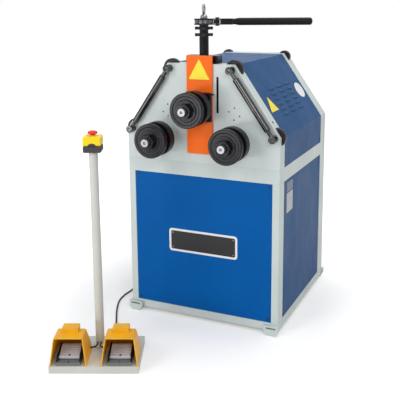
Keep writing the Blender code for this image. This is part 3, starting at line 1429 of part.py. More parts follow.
def stand_tray(kit, stand):
    """The folded base sheet, open below, and the post with its welded foot flange."""
    half = TRAY_WIDTH / 2
    tray_mesh = box_mesh((-half, 0, 0), (half, TRAY_DEPTH, TRAY_HEIGHT))
    tray = kit.piece("stand_base", tray_mesh, (0, 0, 0), stand, "stand_paint")
    inner = box_mesh(
        (-half + TRAY_SHEET, TRAY_SHEET, -CUT_OVERRUN),
        (half - TRAY_SHEET, TRAY_DEPTH - TRAY_SHEET, TRAY_HEIGHT - TRAY_SHEET),
    )
    cut(kit, tray, inner, stand)
    base = TRAY_HEIGHT + CLEAR
    profile = [
        (0, POST_TOP),
        (POST_RADIUS, POST_TOP),
        (POST_RADIUS, base + POST_FOOT_THICK),
        (POST_FOOT_RADIUS, base + POST_FOOT_THICK),
        (POST_FOOT_RADIUS, base),
        (0, base),
    ]
    turned(kit, "stand_post", profile, False, (0, POST_Y, 0), "Z", stand, "stand_paint")
    profile = [
        (0, GROMMET_LENGTH),
        (GROMMET_RADIUS, GROMMET_LENGTH),
        (GROMMET_RADIUS, 0),
        (0, 0),
    ]
    pivot = (CABLE_ENTRY_X, TRAY_DEPTH + CLEAR, CABLE_ENTRY_Z)
    turned(kit, "stand_grommet", profile, False, pivot, "Y", stand, "black_plastic", SMALL)


def guard_block(middle, inset, front_run, floor_run):
    """The foot guard's block: its side view made wide, then tapered towards the roof.

    It is smaller by inset at the sides, the back and the roof, and runs out by front_run at the
    mouth and by floor_run below.
    """
    base = TRAY_HEIGHT + CLEAR
    low = base - floor_run
    top = base + HOOD_ROOF_HEIGHT - inset
    rake = HOOD_MOUTH_SETBACK / HOOD_ROOF_HEIGHT
    side_view = [
        (-front_run - rake * floor_run, low),
        (HOOD_DEPTH - inset, low),
        (HOOD_DEPTH - inset, base + HOOD_BACK_HEIGHT - inset),
        (HOOD_ROOF_BACK - inset, top),
        (HOOD_MOUTH_SETBACK - rake * inset - front_run, top),
    ]
    half = HOOD_WIDTH / 2 - inset
    mesh = plate_mesh([side_view], "X", -half, half)
    lean = (HOOD_WIDTH - HOOD_ROOF_WIDTH) / 2 / HOOD_ROOF_HEIGHT
    for vert in mesh.vertices:
        taper = 1 - lean * (vert.co.z - base) / half
        vert.co.x = vert.co.x * taper + middle
    return mesh


def pedal_hood(kit, stand, middle, word):
    """A moulded foot guard: flared walls, a sloped back and a stepped roof, open at the front."""
    base = TRAY_HEIGHT + CLEAR
    roof = base + HOOD_ROOF_HEIGHT
    top = base + HOOD_STEP_HEIGHT
    half = HOOD_STEP_WIDTH / 2
    block = guard_block(middle, 0, 0, 0)
    bm = bmesh.new()
    bm.from_mesh(block)
    rounded = []
    for edge in bm.edges:
        at_floor = max(vert.co.z for vert in edge.verts) < base + HOOD_WALL
        at_mouth = max(vert.co.y for vert in edge.verts) < HOOD_MOUTH_SETBACK + HOOD_WALL
        if edge.calc_face_angle() > SHARP_ANGLE and not at_floor and not at_mouth:
            rounded.append(edge)
    bmesh.ops.bevel(
        bm, geom=rounded, offset=HOOD_EDGE, segments=2, profile=ROUND_EDGE_SHARE, affect="EDGES"
    )
    bm.to_mesh(block)
    bm.free()
    guard = kit.piece("pedal_hood_" + word, block, (0, 0, 0), stand, "hood_plastic")
    step = box_mesh(
        (middle - half, HOOD_STEP_FRONT, roof - HOOD_WALL / 2), (middle + half, HOOD_STEP_BACK, top)
    )
    join(kit, guard, step, stand)
    cut(kit, guard, guard_block(middle, HOOD_WALL, 2 * CUT_OVERRUN, CUT_OVERRUN), stand)
    room = half - HOOD_WALL
    hollow = box_mesh(
        (middle - room, HOOD_STEP_FRONT + HOOD_WALL, roof - 2 * HOOD_WALL),
        (middle + room, HOOD_STEP_BACK - HOOD_WALL, top - HOOD_WALL),
    )
    cut(kit, guard, hollow, stand)


def tread_pivot(middle):
    base = TRAY_HEIGHT + CLEAR + PEDAL_BASE_HEIGHT
    return Vector((middle, TREAD_PIVOT_Y, base + TREAD_PIVOT_LIFT))


def pedal(kit, stand, tread_carrier, middle, word):
    """A pedal's grey base with two cheeks, and its ribbed tread on a cross pin."""
    base = TRAY_HEIGHT + CLEAR
    half = PEDAL_BASE_WIDTH / 2
    top = base + PEDAL_BASE_HEIGHT
    body = kit.piece(
        "pedal_base_" + word,
        box_mesh((middle - half, PEDAL_BASE_FRONT, base), (middle + half, PEDAL_BASE_REAR, top)),
        (0, 0, 0),
        stand,
        "pedal_grey",
    )
    pivot = tread_pivot(middle)
    cheek_far = PEDAL_BASE_REAR - PEDAL_BASE_FRONT
    for side in (-1, 1):
        across = sorted((side * half, side * (half - PEDAL_CHEEK)))
        outline = [
            (PEDAL_BASE_FRONT + PEDAL_CHEEK_HEIGHT / 4, top - JOIN_OVERLAP),
            (PEDAL_BASE_FRONT + cheek_far, top - JOIN_OVERLAP),
            (PEDAL_BASE_FRONT + cheek_far, base + PEDAL_CHEEK_HEIGHT),
            (TREAD_PIVOT_Y, pivot.z + PEDAL_CHEEK_HEIGHT / 4),
        ]
        cheek = plate_mesh([outline], "X", middle + across[0], middle + across[1])
        join(kit, body, cheek, stand)
    start = (middle - half - CUT_OVERRUN, pivot.y, pivot.z)
    length = PEDAL_BASE_WIDTH + 2 * CUT_OVERRUN
    cut(kit, body, rod_mesh(start, "X", length, TREAD_PIN_RADIUS + RUN_CLEAR, SMALL), stand)

    # The tread is drawn in side view and rises from its pin towards the back.
    wide = TREAD_WIDTH / 2
    top_face = TREAD_THICK - TREAD_PIN_RADIUS
    level = [
        (-TREAD_PIN_RADIUS, -TREAD_PIN_RADIUS),
        (TREAD_LENGTH, 0),
        (TREAD_LENGTH, top_face),
        (0, top_face),
        (-TREAD_PIN_RADIUS, top_face / 2),
    ]
    rise = Matrix.Rotation(TREAD_RISE, 2)
    outline = []
    for spot in level:
        turned_spot = rise @ Vector(spot)
        outline.append((pivot.y + turned_spot.x, pivot.z + turned_spot.y))
    mesh = plate_mesh([outline], "X", middle - wide, middle + wide)
    tread = kit.piece("pedal_tread_" + word, mesh, pivot, tread_carrier, "pedal_grey")
    pin_half = half - CLEAR
    pin_mesh = rod_mesh(
        (middle - pin_half, pivot.y, pivot.z), "X", 2 * pin_half, TREAD_PIN_RADIUS, SMALL
    )
    join(kit, tread, pin_mesh, tread_carrier)


def emergency_stop(kit, stand, button):
    """The stop box on the post: dark base, yellow cover and a mushroom button on its top."""
    half = STOP_WIDTH / 2
    depth = STOP_DEPTH / 2
    low = POST_TOP + CLEAR
    split = low + STOP_BASE_HEIGHT
    top = split + STOP_COVER_HEIGHT
    base_mesh = box_mesh((-half, POST_Y - depth, low), (half, POST_Y + depth, split - CLEAR))
    base = kit.piece("stop_box_base", base_mesh, (0, 0, 0), stand, "dark_plastic")
    cover_mesh = box_mesh((-half, POST_Y - depth, split), (half, POST_Y + depth, top))
    cover = kit.piece("stop_box_cover", cover_mesh, (0, 0, 0), stand, "stop_yellow")
    for body in (base, cover):
        bevel(body, STOP_EDGE)
    notch_start = (0, POST_Y - depth - CUT_OVERRUN, split)
    notch = rod_mesh(notch_start, "Y", CUT_OVERRUN + STOP_NOTCH_DEPTH, STOP_NOTCH_RADIUS, SMALL)
    cut(kit, cover, notch, stand)
    collar_start = (0, POST_Y, top - JOIN_OVERLAP)
    collar_length = STOP_COLLAR_HEIGHT + JOIN_OVERLAP
    collar = rod_mesh(collar_start, "Z", collar_length, STOP_COLLAR_RADIUS, ROUND)
    join(kit, cover, collar, stand)
    shaft_hole = STOP_STEM_RADIUS + RUN_CLEAR
    sunk = STOP_STEM_SINK + STOP_TRAVEL + CLEAR
    start = (0, POST_Y, top - sunk)
    cut(kit, cover, rod_mesh(start, "Z", sunk + CUT_OVERRUN, shaft_hole, ROUND), stand)

    profile = [
        (STOP_CAP_RADIUS * out, STOP_CAP_LIFT + STOP_CAP_HEIGHT * up) for out, up in STOP_CAP_SHARES
    ]
    profile += [
        (STOP_STEM_RADIUS, STOP_CAP_LIFT),
        (STOP_STEM_RADIUS, -STOP_STEM_SINK),
        (0, -STOP_STEM_SINK),
    ]
    turned(kit, "stop_button", profile, False, (0, POST_Y, top), "Z", button, "stop_red")


def stop_top():
    return POST_TOP + CLEAR + STOP_BASE_HEIGHT + STOP_COVER_HEIGHT


def cord(kit, name, points, radius, carrier):
    """A round cord along points, as a bevelled curve with filled ends."""
    curve = bpy.data.curves.new(name, "CURVE")
    curve.dimensions = "3D"
    curve.bevel_depth = radius
    curve.bevel_resolution = 2
    curve.use_fill_caps = True
    spline = curve.splines.new("POLY")
    spline.points.add(len(points) - 1)
    for point, spot in zip(spline.points, points):
        point.co = (*spot, 1)
    return kit.put(name, curve, (0, 0, 0), carrier, "cord_rubber")


def smooth_points(route, spacing):
    """Points at an even spacing on the smooth curve through the route's own points."""
    knots = [Vector(spot) for spot in route]
    ends = [knots[0] * 2 - knots[1]] + knots + [knots[-1] * 2 - knots[-2]]
    fine = []
    for i in range(1, len(ends) - 2):
        before, first, second, after = ends[i - 1:i + 3]
        for step in range(ROUTE_STEPS):
            t = step / ROUTE_STEPS
            fine.append(
                (
                    first * 2
                    + (second - before) * t
                    + (before * 2 - first * 5 + second * 4 - after) * t * t
                    + (first * 3 - before - second * 3 + after) * t * t * t
                )
                / 2
            )
    fine.append(knots[-1])
    total = sum((b - a).length for a, b in zip(fine, fine[1:]))
    count = max(2, round(total / spacing))
    points = [fine[0]]
    travelled = 0.0
    target = total / count
    for a, b in zip(fine, fine[1:]):
        length = (b - a).length
        while travelled + length >= target and len(points) < count:
            points.append(a.lerp(b, (target - travelled) / length))
            target += total / count
        travelled += length
    points.append(fine[-1])
    return points, total


def cords(kit, machine, stand):
    """The two short pedal leads on the stand, and the control cable from machine to stand."""
    lean = (HOOD_WIDTH - HOOD_ROOF_WIDTH) / 2 / HOOD_ROOF_HEIGHT
    wall = PEDAL_OFFSET - HOOD_WIDTH / 2 + lean * (LEAD_HEIGHT - TRAY_HEIGHT - CLEAR)
    exit_x = wall - CLEAR - lean * LEAD_RADIUS
    front = POST_Y - POST_RADIUS - CLEAR
    for side, word in ((-1, "left"), (1, "right")):
        plan = [
            (exit_x, LEAD_EXIT_Y),
            (exit_x - 2 * LEAD_RADIUS, LEAD_EXIT_Y),
            (LEAD_OFFSET * LEAD_BEND_SHARE, LEAD_EXIT_Y + 2 * LEAD_RADIUS),
            (LEAD_OFFSET, (LEAD_EXIT_Y + front) / 2),
            (LEAD_OFFSET, front - 2 * LEAD_RADIUS),
            (LEAD_OFFSET, front),
        ]
        points = [(side * x, y, LEAD_HEIGHT) for x, y in plan]
        dense, _ = smooth_points(points, 2 * LEAD_RADIUS * CORD_STEP_DIAMETERS)
        cord(kit, "pedal_lead_" + word, dense, LEAD_RADIUS, stand)

    turn = Matrix.Translation((STAND_X, STAND_Y, 0)) @ Matrix.Rotation(STAND_TURN, 4, "Z")
    face = TRAY_DEPTH + GROMMET_LENGTH + 2 * CLEAR
    entry = turn @ Vector((CABLE_ENTRY_X, face, CABLE_ENTRY_Z))
    ahead = turn @ Vector((CABLE_ENTRY_X, face + 4 * CABLE_RADIUS, CABLE_ENTRY_Z))
    tip = -HALF_WIDTH + PANEL_INSET - CLEAR - GLAND_LENGTH + GLAND_BORE_DEPTH - CLEAR
    start = [(tip, GLAND_Y, GLAND_Z), (tip - GLAND_BORE_DEPTH * CABLE_START_SHARE, GLAND_Y, GLAND_Z)]
    route = start + CABLE_ROUTE + [tuple(ahead), tuple(entry)]
    points, length = smooth_points(route, 2 * CABLE_RADIUS * CORD_STEP_DIAMETERS)
    cord(kit, "control_cable", points, CABLE_RADIUS, machine)
    print("control cable length", round(length, 4))


def centre_on_floor(kit, machine, loose):
    """Move the root so that the origin is on the floor under the middle of the part."""
    bpy.context.view_layer.update()
    graph = bpy.context.evaluated_depsgraph_get()
    xs = []
    ys = []
    for body in kit.parts.objects:
        if body.type == "EMPTY" or body.name in loose:
            continue
        shape = body.evaluated_get(graph)
        mesh = shape.to_mesh()
        for vert in mesh.vertices:
            spot = body.matrix_world @ vert.co
            xs.append(spot.x)
            ys.append(spot.y)
        shape.to_mesh_clear()
    machine.location = (-(min(xs) + max(xs)) / 2, -(min(ys) + max(ys)) / 2, 0)
    bpy.context.view_layer.update()


FINISHES = {
    "frame_paint": ((0.58, 0.62, 0.58), 0.5, 0.0),
    "face_paint": ((0.62, 0.66, 0.63), 0.45, 0.0),
    "front_paint": ((0.005, 0.11, 0.34), 0.4, 0.0),
    "panel_paint": ((0.05, 0.12, 0.28), 0.45, 0.0),
    "orange_paint": ((0.90, 0.16, 0.02), 0.4, 0.0),
    "roll_steel": ((0.03, 0.03, 0.035), 0.3, 0.8),
    "black_steel": ((0.025, 0.025, 0.03), 0.35, 0.6),
    "bright_steel": ((0.70, 0.70, 0.72), 0.25, 1.0),
    "gear_steel": ((0.35, 0.35, 0.36), 0.4, 1.0),
    "gearbox_paint": ((0.25, 0.27, 0.28), 0.5, 0.0),
    "rubber": ((0.02, 0.02, 0.02), 0.7, 0.0),
    "black_plastic": ((0.02, 0.02, 0.022), 0.5, 0.0),
    "dark_plastic": ((0.07, 0.07, 0.07), 0.5, 0.0),
    "stand_paint": ((0.55, 0.56, 0.52), 0.5, 0.0),
    "hood_plastic": ((0.95, 0.42, 0.02), 0.45, 0.0),
    "pedal_grey": ((0.28, 0.27, 0.29), 0.6, 0.0),
    "stop_yellow": ((0.90, 0.66, 0.02), 0.45, 0.0),
    "stop_red": ((0.75, 0.03, 0.02), 0.4, 0.0),
    "cord_rubber": ((0.015, 0.015, 0.015), 0.6, 0.0),
}


def main():
    for leftover in list(bpy.data.objects):
        bpy.data.objects.remove(leftover)
    kit = Assembly("roll_bender")
    for name, (colour, roughness, metallic) in FINISHES.items():
        kit.finishes[name] = finish_of(name, colour, roughness, metallic)

    machine = kit.carrier("machine", (0, 0, 0))
    slide = kit.carrier("top_slide_axis", (0, 0, TOP_SHAFT_HEIGHT), machine)
    top_roller = kit.carrier("top_roller_axis", (0, 0, TOP_SHAFT_HEIGHT), slide)
    left_roller = kit.carrier("left_roller_axis", (-SHAFT_X, 0, LOWER_SHAFT_HEIGHT), machine)
    right_roller = kit.carrier("right_roller_axis", (SHAFT_X, 0, LOWER_SHAFT_HEIGHT), machine)
    pinion = kit.carrier("pinion_axis", (0, 0, pinion_height()), machine)
    nut = kit.carrier("lift_nut_axis", (0, SCREW_Y, NUT_TUBE_TOP), machine)
    handle = kit.carrier("handle_axis", (0, SCREW_Y, NUT_TUBE_TOP), nut)
    pawl_turn = Matrix.Translation((0, SCREW_Y, 0)) @ Matrix.Rotation(HANDLE_TURN, 4, "Z")
    pawl_place = pawl_turn @ Vector((PAWL_PIVOT, 0, WHEEL_LOW + WHEEL_THICK / 2))
    pawl = kit.carrier("pawl_axis", pawl_place, handle)

    stand = kit.carrier("stand", (0, 0, 0), machine)
    stand.location = (STAND_X, STAND_Y, 0)
    stand.rotation_euler = (0, 0, STAND_TURN)
    tread_left = kit.carrier("tread_left_axis", tread_pivot(-PEDAL_OFFSET), stand)
    tread_right = kit.carrier("tread_right_axis", tread_pivot(PEDAL_OFFSET), stand)
    button = kit.carrier("stop_axis", (0, POST_Y, stop_top()), stand)

    machine_frame(kit, machine)
    face_plate(kit, machine)
    corner_buffers(kit, machine)
    hood(kit, machine)
    panels(kit, machine)
    guide_rods(kit, machine)
    crosshead(kit, machine)
    bearing_plate(kit, machine)
    gearmotor(kit, machine)
    control_box(kit, machine)
    roll_set(kit, "left", (-SHAFT_X, 0, LOWER_SHAFT_HEIGHT), left_roller, BOSS_LENGTH, SHAFT_REAR)
    roll_set(kit, "right", (SHAFT_X, 0, LOWER_SHAFT_HEIGHT), right_roller, BOSS_LENGTH, SHAFT_REAR)
    gears(kit, left_roller, right_roller, pinion)
    top_slide(kit, slide, top_roller)
    lift_nut(kit, nut)
    ratchet_handle(kit, handle, pawl)
    stand_tray(kit, stand)
    for middle, carrier, word in (
        (-PEDAL_OFFSET, tread_left, "left"),
        (PEDAL_OFFSET, tread_right, "right"),
    ):
        pedal_hood(kit, stand, middle, word)
        pedal(kit, stand, carrier, middle, word)
    emergency_stop(kit, stand, button)
    cords(kit, machine, stand)
    centre_on_floor(kit, machine, {"control_cable"})


main()
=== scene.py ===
"""Looks of a floor-standing roll bender with its foot-control stand.

Units are metres and +Z is up. The machine's front faces -Y. Places on the machine are given from the
floor under the middle of its front face, and places on the stand from the middle of its front edge.
"""

import json
import math

import bmesh
import bpy
from mathutils import Matrix, Vector

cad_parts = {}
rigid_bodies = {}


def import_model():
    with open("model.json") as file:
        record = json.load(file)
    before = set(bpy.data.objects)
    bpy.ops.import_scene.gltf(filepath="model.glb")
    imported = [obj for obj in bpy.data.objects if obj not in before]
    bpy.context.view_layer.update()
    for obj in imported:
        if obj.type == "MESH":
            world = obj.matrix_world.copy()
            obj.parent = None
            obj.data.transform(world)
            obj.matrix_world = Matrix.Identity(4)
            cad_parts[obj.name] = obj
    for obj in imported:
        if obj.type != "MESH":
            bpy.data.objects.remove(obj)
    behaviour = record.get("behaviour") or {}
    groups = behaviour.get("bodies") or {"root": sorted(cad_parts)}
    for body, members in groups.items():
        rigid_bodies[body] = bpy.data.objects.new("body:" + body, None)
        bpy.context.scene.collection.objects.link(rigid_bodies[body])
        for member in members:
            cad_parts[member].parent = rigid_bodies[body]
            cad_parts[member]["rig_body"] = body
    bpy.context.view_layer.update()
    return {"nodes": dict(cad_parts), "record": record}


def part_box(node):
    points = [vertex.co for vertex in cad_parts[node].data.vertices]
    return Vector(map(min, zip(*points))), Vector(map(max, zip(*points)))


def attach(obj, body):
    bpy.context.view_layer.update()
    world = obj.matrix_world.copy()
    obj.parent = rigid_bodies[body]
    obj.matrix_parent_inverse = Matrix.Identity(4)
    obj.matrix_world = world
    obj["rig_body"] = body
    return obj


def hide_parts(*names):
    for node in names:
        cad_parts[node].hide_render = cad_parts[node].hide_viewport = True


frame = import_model()

# Sizes that repeat the CAD model's
FRAME_WIDTH = 0.730
FRAME_DEPTH = 0.735
HEAD_HEIGHT = 1.185
HEAD_TOP_WIDTH = 0.314
SHOULDER_HEIGHT = 0.8825
SEAM_HEIGHT = 0.7455
FACE_THICK = 0.020
COVER_STANDOFF = 0.0005
COVER_THICK = 0.010
PANEL_INSET = 0.003
POST_WIDTH = 0.031
REAR_POST_WIDTH = 0.080
SIDE_POST_WIDTH = 0.064
SILL_HEIGHT = 0.052
WINDOW_TOP = 0.684
SCREW_Y = 0.044
HANDLE_TURN = math.radians(18)
STAND_PLACE = (-0.2012, -0.5998, 0.0)
STAND_TURN = math.radians(23.63)
GAP = 0.0003

face_low, face_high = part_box("face_plate")
MACHINE = Matrix.Translation(((face_low.x + face_high.x) / 2, face_high.y - FACE_THICK, 0.0))
STAND = MACHINE @ Matrix.Translation(STAND_PLACE) @ Matrix.Rotation(STAND_TURN, 4, "Z")
HALF_WIDTH = FRAME_WIDTH / 2
HALF_TOP = HEAD_TOP_WIDTH / 2
SIDES = ((-1, "left"), (1, "right"))

# Turns that lay a mesh's own +Z along another direction
QUARTER = math.radians(90)
ALONG_FRONT = Matrix.Rotation(QUARTER, 4, "X")
ALONG_BACK = Matrix.Rotation(-QUARTER, 4, "X")
ALONG_RIGHT = Matrix.Rotation(QUARTER, 4, "Y")
ALONG_LEFT = Matrix.Rotation(-QUARTER, 4, "Y")


# Materials

MATERIALS = {}
# Colour and width of the lighter band along black steel edges: partly wear, partly a painted highlight
# on the rims.
WORN_AND_HIGHLIGHT_EDGE = (0.16, 0.16, 0.17)
WEAR_AND_HIGHLIGHT_WIDTH = 0.0014


def shade(colour, factor):
    return tuple(min(1.0, channel * factor) for channel in colour)


class Shader:
    """A Principled material with its nodes made by name, kept in MATERIALS."""

    def __init__(self, name, roughness, metallic=0.0, **fixed):
        material = bpy.data.materials.new(name)
        material.use_nodes = True
        self.tree = material.node_tree
        self.main = self.tree.nodes["Principled BSDF"]
        fixed.update(Roughness=roughness, Metallic=metallic)
        for socket, value in fixed.items():
            self.main.inputs[socket.replace("_", " ")].default_value = value
        self.place = self.node("ShaderNodeTexCoord").outputs["Object"]
        MATERIALS[name] = material

    def node(self, kind, inputs=None, **settings):
        """A new node; its inputs, by name or number, take values or other nodes' sockets."""
        made = self.tree.nodes.new(kind)
        for name, value in settings.items():
            setattr(made, name, value)
        for socket, value in (inputs or {}).items():
            if isinstance(value, bpy.types.NodeSocket):
                self.tree.links.new(value, made.inputs[socket])
            else:
                made.inputs[socket].default_value = value
        return made

    def feed(self, **sources):
        """Links sources to the main shader's own sockets."""
        for socket, source in sources.items():
            self.tree.links.new(source, self.main.inputs[socket.replace("_", " ")])

    def noise(self, scale, detail=3.0, roughness=0.55, stretch=None, at=None):
        """Noise over the object's own coordinates, in cycles a metre."""
        source = self.place if at is None else at
        if stretch is not None:
            mapping = self.node("ShaderNodeMapping", {"Vector": source, "Scale": stretch})
            source = mapping.outputs["Vector"]
        values = {"Vector": source, "Scale": scale, "Detail": detail, "Roughness": roughness}
        return self.node("ShaderNodeTexNoise", values).outputs["Fac"]

    def spread(self, source, low, high, start=0.3, end=0.7):
        """The source remapped from start..end to low..high."""
        values = {"Value": source, "From Min": start, "From Max": end, "To Min": low, "To Max": high}
        return self.node("ShaderNodeMapRange", values).outputs["Result"]

    def blend(self, share, first, second):
        """Two colours, or sockets, mixed by a share."""
        values = {0: share}
        for socket, value in ((6, first), (7, second)):
            values[socket] = value if isinstance(value, bpy.types.NodeSocket) else (*value, 1.0)
        return self.node("ShaderNodeMix", values, data_type="RGBA", blend_type="MIX").outputs[2]

    def mottled(self, source, colour, dark, light, *ends):
        """A colour between a darker and a lighter shade of itself."""
        share = self.spread(source, 0.0, 1.0, *ends)
        return self.blend(share, shade(colour, dark), shade(colour, light))

    def bump(self, height, strength, distance):
        values = {"Strength": strength, "Distance": distance, "Height": height}
        self.feed(Normal=self.node("ShaderNodeBump", values).outputs["Normal"])

    def radius(self):
        """The distance from the object's own Z axis."""
        flat = self.node(
            "ShaderNodeVectorMath", {0: self.place, 1: (1.0, 1.0, 0.0)}, operation="MULTIPLY"
        )
        length = self.node("ShaderNodeVectorMath", {0: flat.outputs["Vector"]}, operation="LENGTH")
        return length.outputs["Value"]

    def edges(self, width):
        """One along the edges, where a rounded normal would turn away from the surface's own."""
        rounded = self.node("ShaderNodeBevel", {"Radius": width}, samples=4).outputs["Normal"]
        own = self.node("ShaderNodeNewGeometry").outputs["Normal"]
        step = self.node("ShaderNodeVectorMath", {0: rounded, 1: own}, operation="DOT_PRODUCT")
        return self.spread(step.outputs["Value"], 1.0, 0.0, 0.88, 0.99)

    def rings(self, scale):
        """Fine turned grooves: noise over the radius and the height on the axis."""
        split = self.node("ShaderNodeSeparateXYZ", {"Vector": self.place})
        both = self.node("ShaderNodeCombineXYZ", {"X": self.radius(), "Y": split.outputs["Z"]})
        return self.noise(scale, 2.0, at=both.outputs["Vector"])


def paint(name, colour, roughness, dirt=(0.30, 0.29, 0.27), peel=0.10, shine=0.30):
    """Sprayed paint: a slight orange peel, soft mottling and thin handling marks."""
    made = Shader(name, roughness, Specular_IOR_Level=shine)
    body = made.mottled(made.noise(5.0, 4.0), colour, 0.95, 1.04)
    marks = made.noise(28.0, 6.0, 0.7, stretch=(1.0, 1.0, 0.35))
    wipe = made.noise(14.0, 3.0, stretch=(1.0, 1.0, 0.5))
    made.feed(
        Base_Color=made.blend(made.spread(marks, 0.0, 0.16, 0.60, 0.78), body, dirt),
        Roughness=made.spread(wipe, roughness * 0.88, roughness * 1.15),
    )
    made.bump(made.noise(900.0, 2.0), peel, 0.0004)


def black_steel(name, colour, roughness, rings=False, shine=0.16, rough_grain=0.25):
    """Blackened steel: dark oxide, rubbed patches, a machined grain, and a lighter band along the edges
    that is partly bare worn metal and partly a painted highlight.
    """
    made = Shader(name, roughness, 0.10, Specular_IOR_Level=shine)
    oxide = made.mottled(made.noise(38.0, 5.0, 0.65), colour, 0.7, 2.1, 0.35, 0.72)
    # The lighter, more metallic edge band is partly bare worn metal and partly a painted highlight along
    # the rims.
    wear_and_highlight = made.edges(WEAR_AND_HIGHLIGHT_WIDTH)
    grain = made.rings(1500.0) if rings else made.noise(600.0, 3.0, stretch=(1.0, 1.0, 0.2))
    made.feed(
        Base_Color=made.blend(wear_and_highlight, oxide, WORN_AND_HIGHLIGHT_EDGE),
        Metallic=made.spread(wear_and_highlight, 0.10, 0.85, 0.0, 1.0),
        Roughness=made.spread(grain, roughness * 0.8, roughness * 1.3),
    )
    made.bump(grain, rough_grain, 0.0002)


def bright_steel(name, colour, roughness, rings=True):
    """Turned or ground steel with fine tool marks and faint stains."""
    made = Shader(name, roughness, 1.0)
    grain = made.rings(2200.0) if rings else made.noise(900.0, 2.0, stretch=(1.0, 0.1, 1.0))
    made.feed(
        Base_Color=made.mottled(made.noise(55.0, 4.0), colour, 0.82, 1.12),
        Roughness=made.spread(grain, roughness * 0.75, roughness * 1.4),
    )
    made.bump(grain, 0.2, 0.0002)


def shaft_steel(name, face, thread, inner, outer):
    """A turned shaft whose bare front face is bright and whose thread is dark."""
    made = Shader(name, 0.46, 1.0)
    outside = made.spread(made.radius(), 0.0, 1.0, inner, outer)
    bare = made.mottled(made.noise(70.0, 3.0), face, 0.92, 1.05)
    grain = made.rings(2200.0)
    made.feed(Base_Color=made.blend(outside, bare, thread), Roughness=made.spread(grain, 0.40, 0.52))
    made.bump(grain, 0.12, 0.0001)


def plastic(name, colour, roughness, grain=0.12, scale=1400.0, shine=0.30):
    """Moulded plastic with a fine spark-eroded texture and slight scuffs."""
    made = Shader(name, roughness, Specular_IOR_Level=shine)
    body = made.mottled(made.noise(22.0, 3.0), colour, 0.95, 1.05)
    scuff = made.noise(90.0, 6.0, 0.7, stretch=(1.0, 0.3, 1.0))
    made.feed(
        Base_Color=made.blend(made.spread(scuff, 0.0, 0.10, 0.62, 0.80), body, shade(colour, 0.55)),
        Roughness=made.spread(made.noise(60.0, 3.0), roughness * 0.85, roughness * 1.2),
    )
    made.bump(made.noise(scale, 2.0), grain, 0.0003)


def rubber(name, colour, roughness):
    """Dark rubber, slightly dusty."""
    made = Shader(name, roughness, Specular_IOR_Level=0.18)
    dust = made.noise(45.0, 5.0, 0.6)
    made.feed(
        Base_Color=made.mottled(dust, colour, 1.0, 2.0, 0.35, 0.75),
        Roughness=made.spread(dust, roughness * 0.9, roughness * 1.1),
    )
    made.bump(made.noise(1100.0, 2.0), 0.15, 0.0003)


# The finishes of the record's slots
paint("frame_paint", (0.550, 0.615, 0.600), 0.42)
paint("face_paint", (0.570, 0.630, 0.620), 0.38, peel=0.16)
paint("front_paint", (0.001, 0.095, 0.350), 0.42, (0.03, 0.12, 0.29), 0.14, 0.05)
paint("panel_paint", (0.024, 0.084, 0.215), 0.42, (0.07, 0.12, 0.19), 0.14, 0.04)
paint("orange_paint", (0.92, 0.150, 0.012), 0.42, (0.45, 0.12, 0.03), 0.12, 0.12)
paint("stand_paint", (0.560, 0.570, 0.530), 0.45)
paint("gearbox_paint", (0.15, 0.17, 0.18), 0.45, (0.08, 0.08, 0.08))
black_steel("roll_steel", (0.004, 0.004, 0.007), 0.26, True, 0.22, 0.12)
black_steel("black_steel", (0.005, 0.005, 0.007), 0.24, shine=0.15)
bright_steel("bright_steel", (0.46, 0.46, 0.48), 0.26)
bright_steel("gear_steel", (0.13, 0.13, 0.14), 0.36, False)
rubber("rubber", (0.010, 0.010, 0.012), 0.36)
plastic("black_plastic", (0.006, 0.006, 0.008), 0.36, shine=0.12)
plastic("dark_plastic", (0.040, 0.040, 0.042), 0.48)
plastic("hood_plastic", (0.80, 0.405, 0.014), 0.38, 0.10, shine=0.22)
plastic("pedal_grey", (0.32, 0.34, 0.37), 0.50, 0.25, 900.0)
plastic("stop_yellow", (0.88, 0.62, 0.012), 0.34, 0.08)
plastic("stop_red", (0.70, 0.025, 0.015), 0.30, 0.05)
rubber("cord_rubber", (0.006, 0.006, 0.007), 0.45)

# Looks of pieces that differ a little from their slot's finish, or that have no slot
black_steel("polished_black", (0.003, 0.003, 0.004), 0.10, shine=0.65, rough_grain=0.02)
shaft_steel("shaft_steel", (0.32, 0.32, 0.34), (0.030, 0.030, 0.033), 0.0160, 0.0170)
bright_steel("worn_steel", (0.24, 0.24, 0.25), 0.30, False)
plastic("tread_grey", (0.46, 0.46, 0.50), 0.50, 0.25, 900.0)
# A darker copy of the pedal grey: painted shade on the pedal bases.
plastic("base_grey_painted_shade", (0.15, 0.165, 0.165), 0.52, 0.25, 900.0)
plastic("plate_rim", (0.74, 0.75, 0.76), 0.30, 0.05, shine=0.5)
plastic("plate_field", (0.016, 0.017, 0.020), 0.36, 0.05)
plastic("plate_yellow", (0.90, 0.74, 0.020), 0.36, 0.04)
plastic("label_paper", (0.46, 0.47, 0.48), 0.50, 0.10)
plastic("label_grey", (0.17, 0.20, 0.25), 0.50, 0.10)

SLOTS = {part["node"]: part["material_slot"] for part in frame["record"]["subparts"]}
for node, body in frame["nodes"].items():
    body.data.materials.clear()
    body.data.materials.append(MATERIALS[SLOTS[node]])
    for polygon in body.data.polygons:
        polygon.material_index = 0


# Meshes

AXIS_RADIUS = 1e-7
SHORTEST_SIDE = 1e-6
CORNER_SHARE = 0.4
STRAIGHT = -0.98


def from_bmesh(bm, name, angle):
    """A smooth mesh whose edges are sharp above an angle in degrees."""
    bmesh.ops.recalc_face_normals(bm, faces=bm.faces)
    mesh = bpy.data.meshes.new(name)
    bm.to_mesh(mesh)
    bm.free()
    mesh.shade_smooth()
    mesh.set_sharp_from_angle(angle=math.radians(angle))
    return mesh


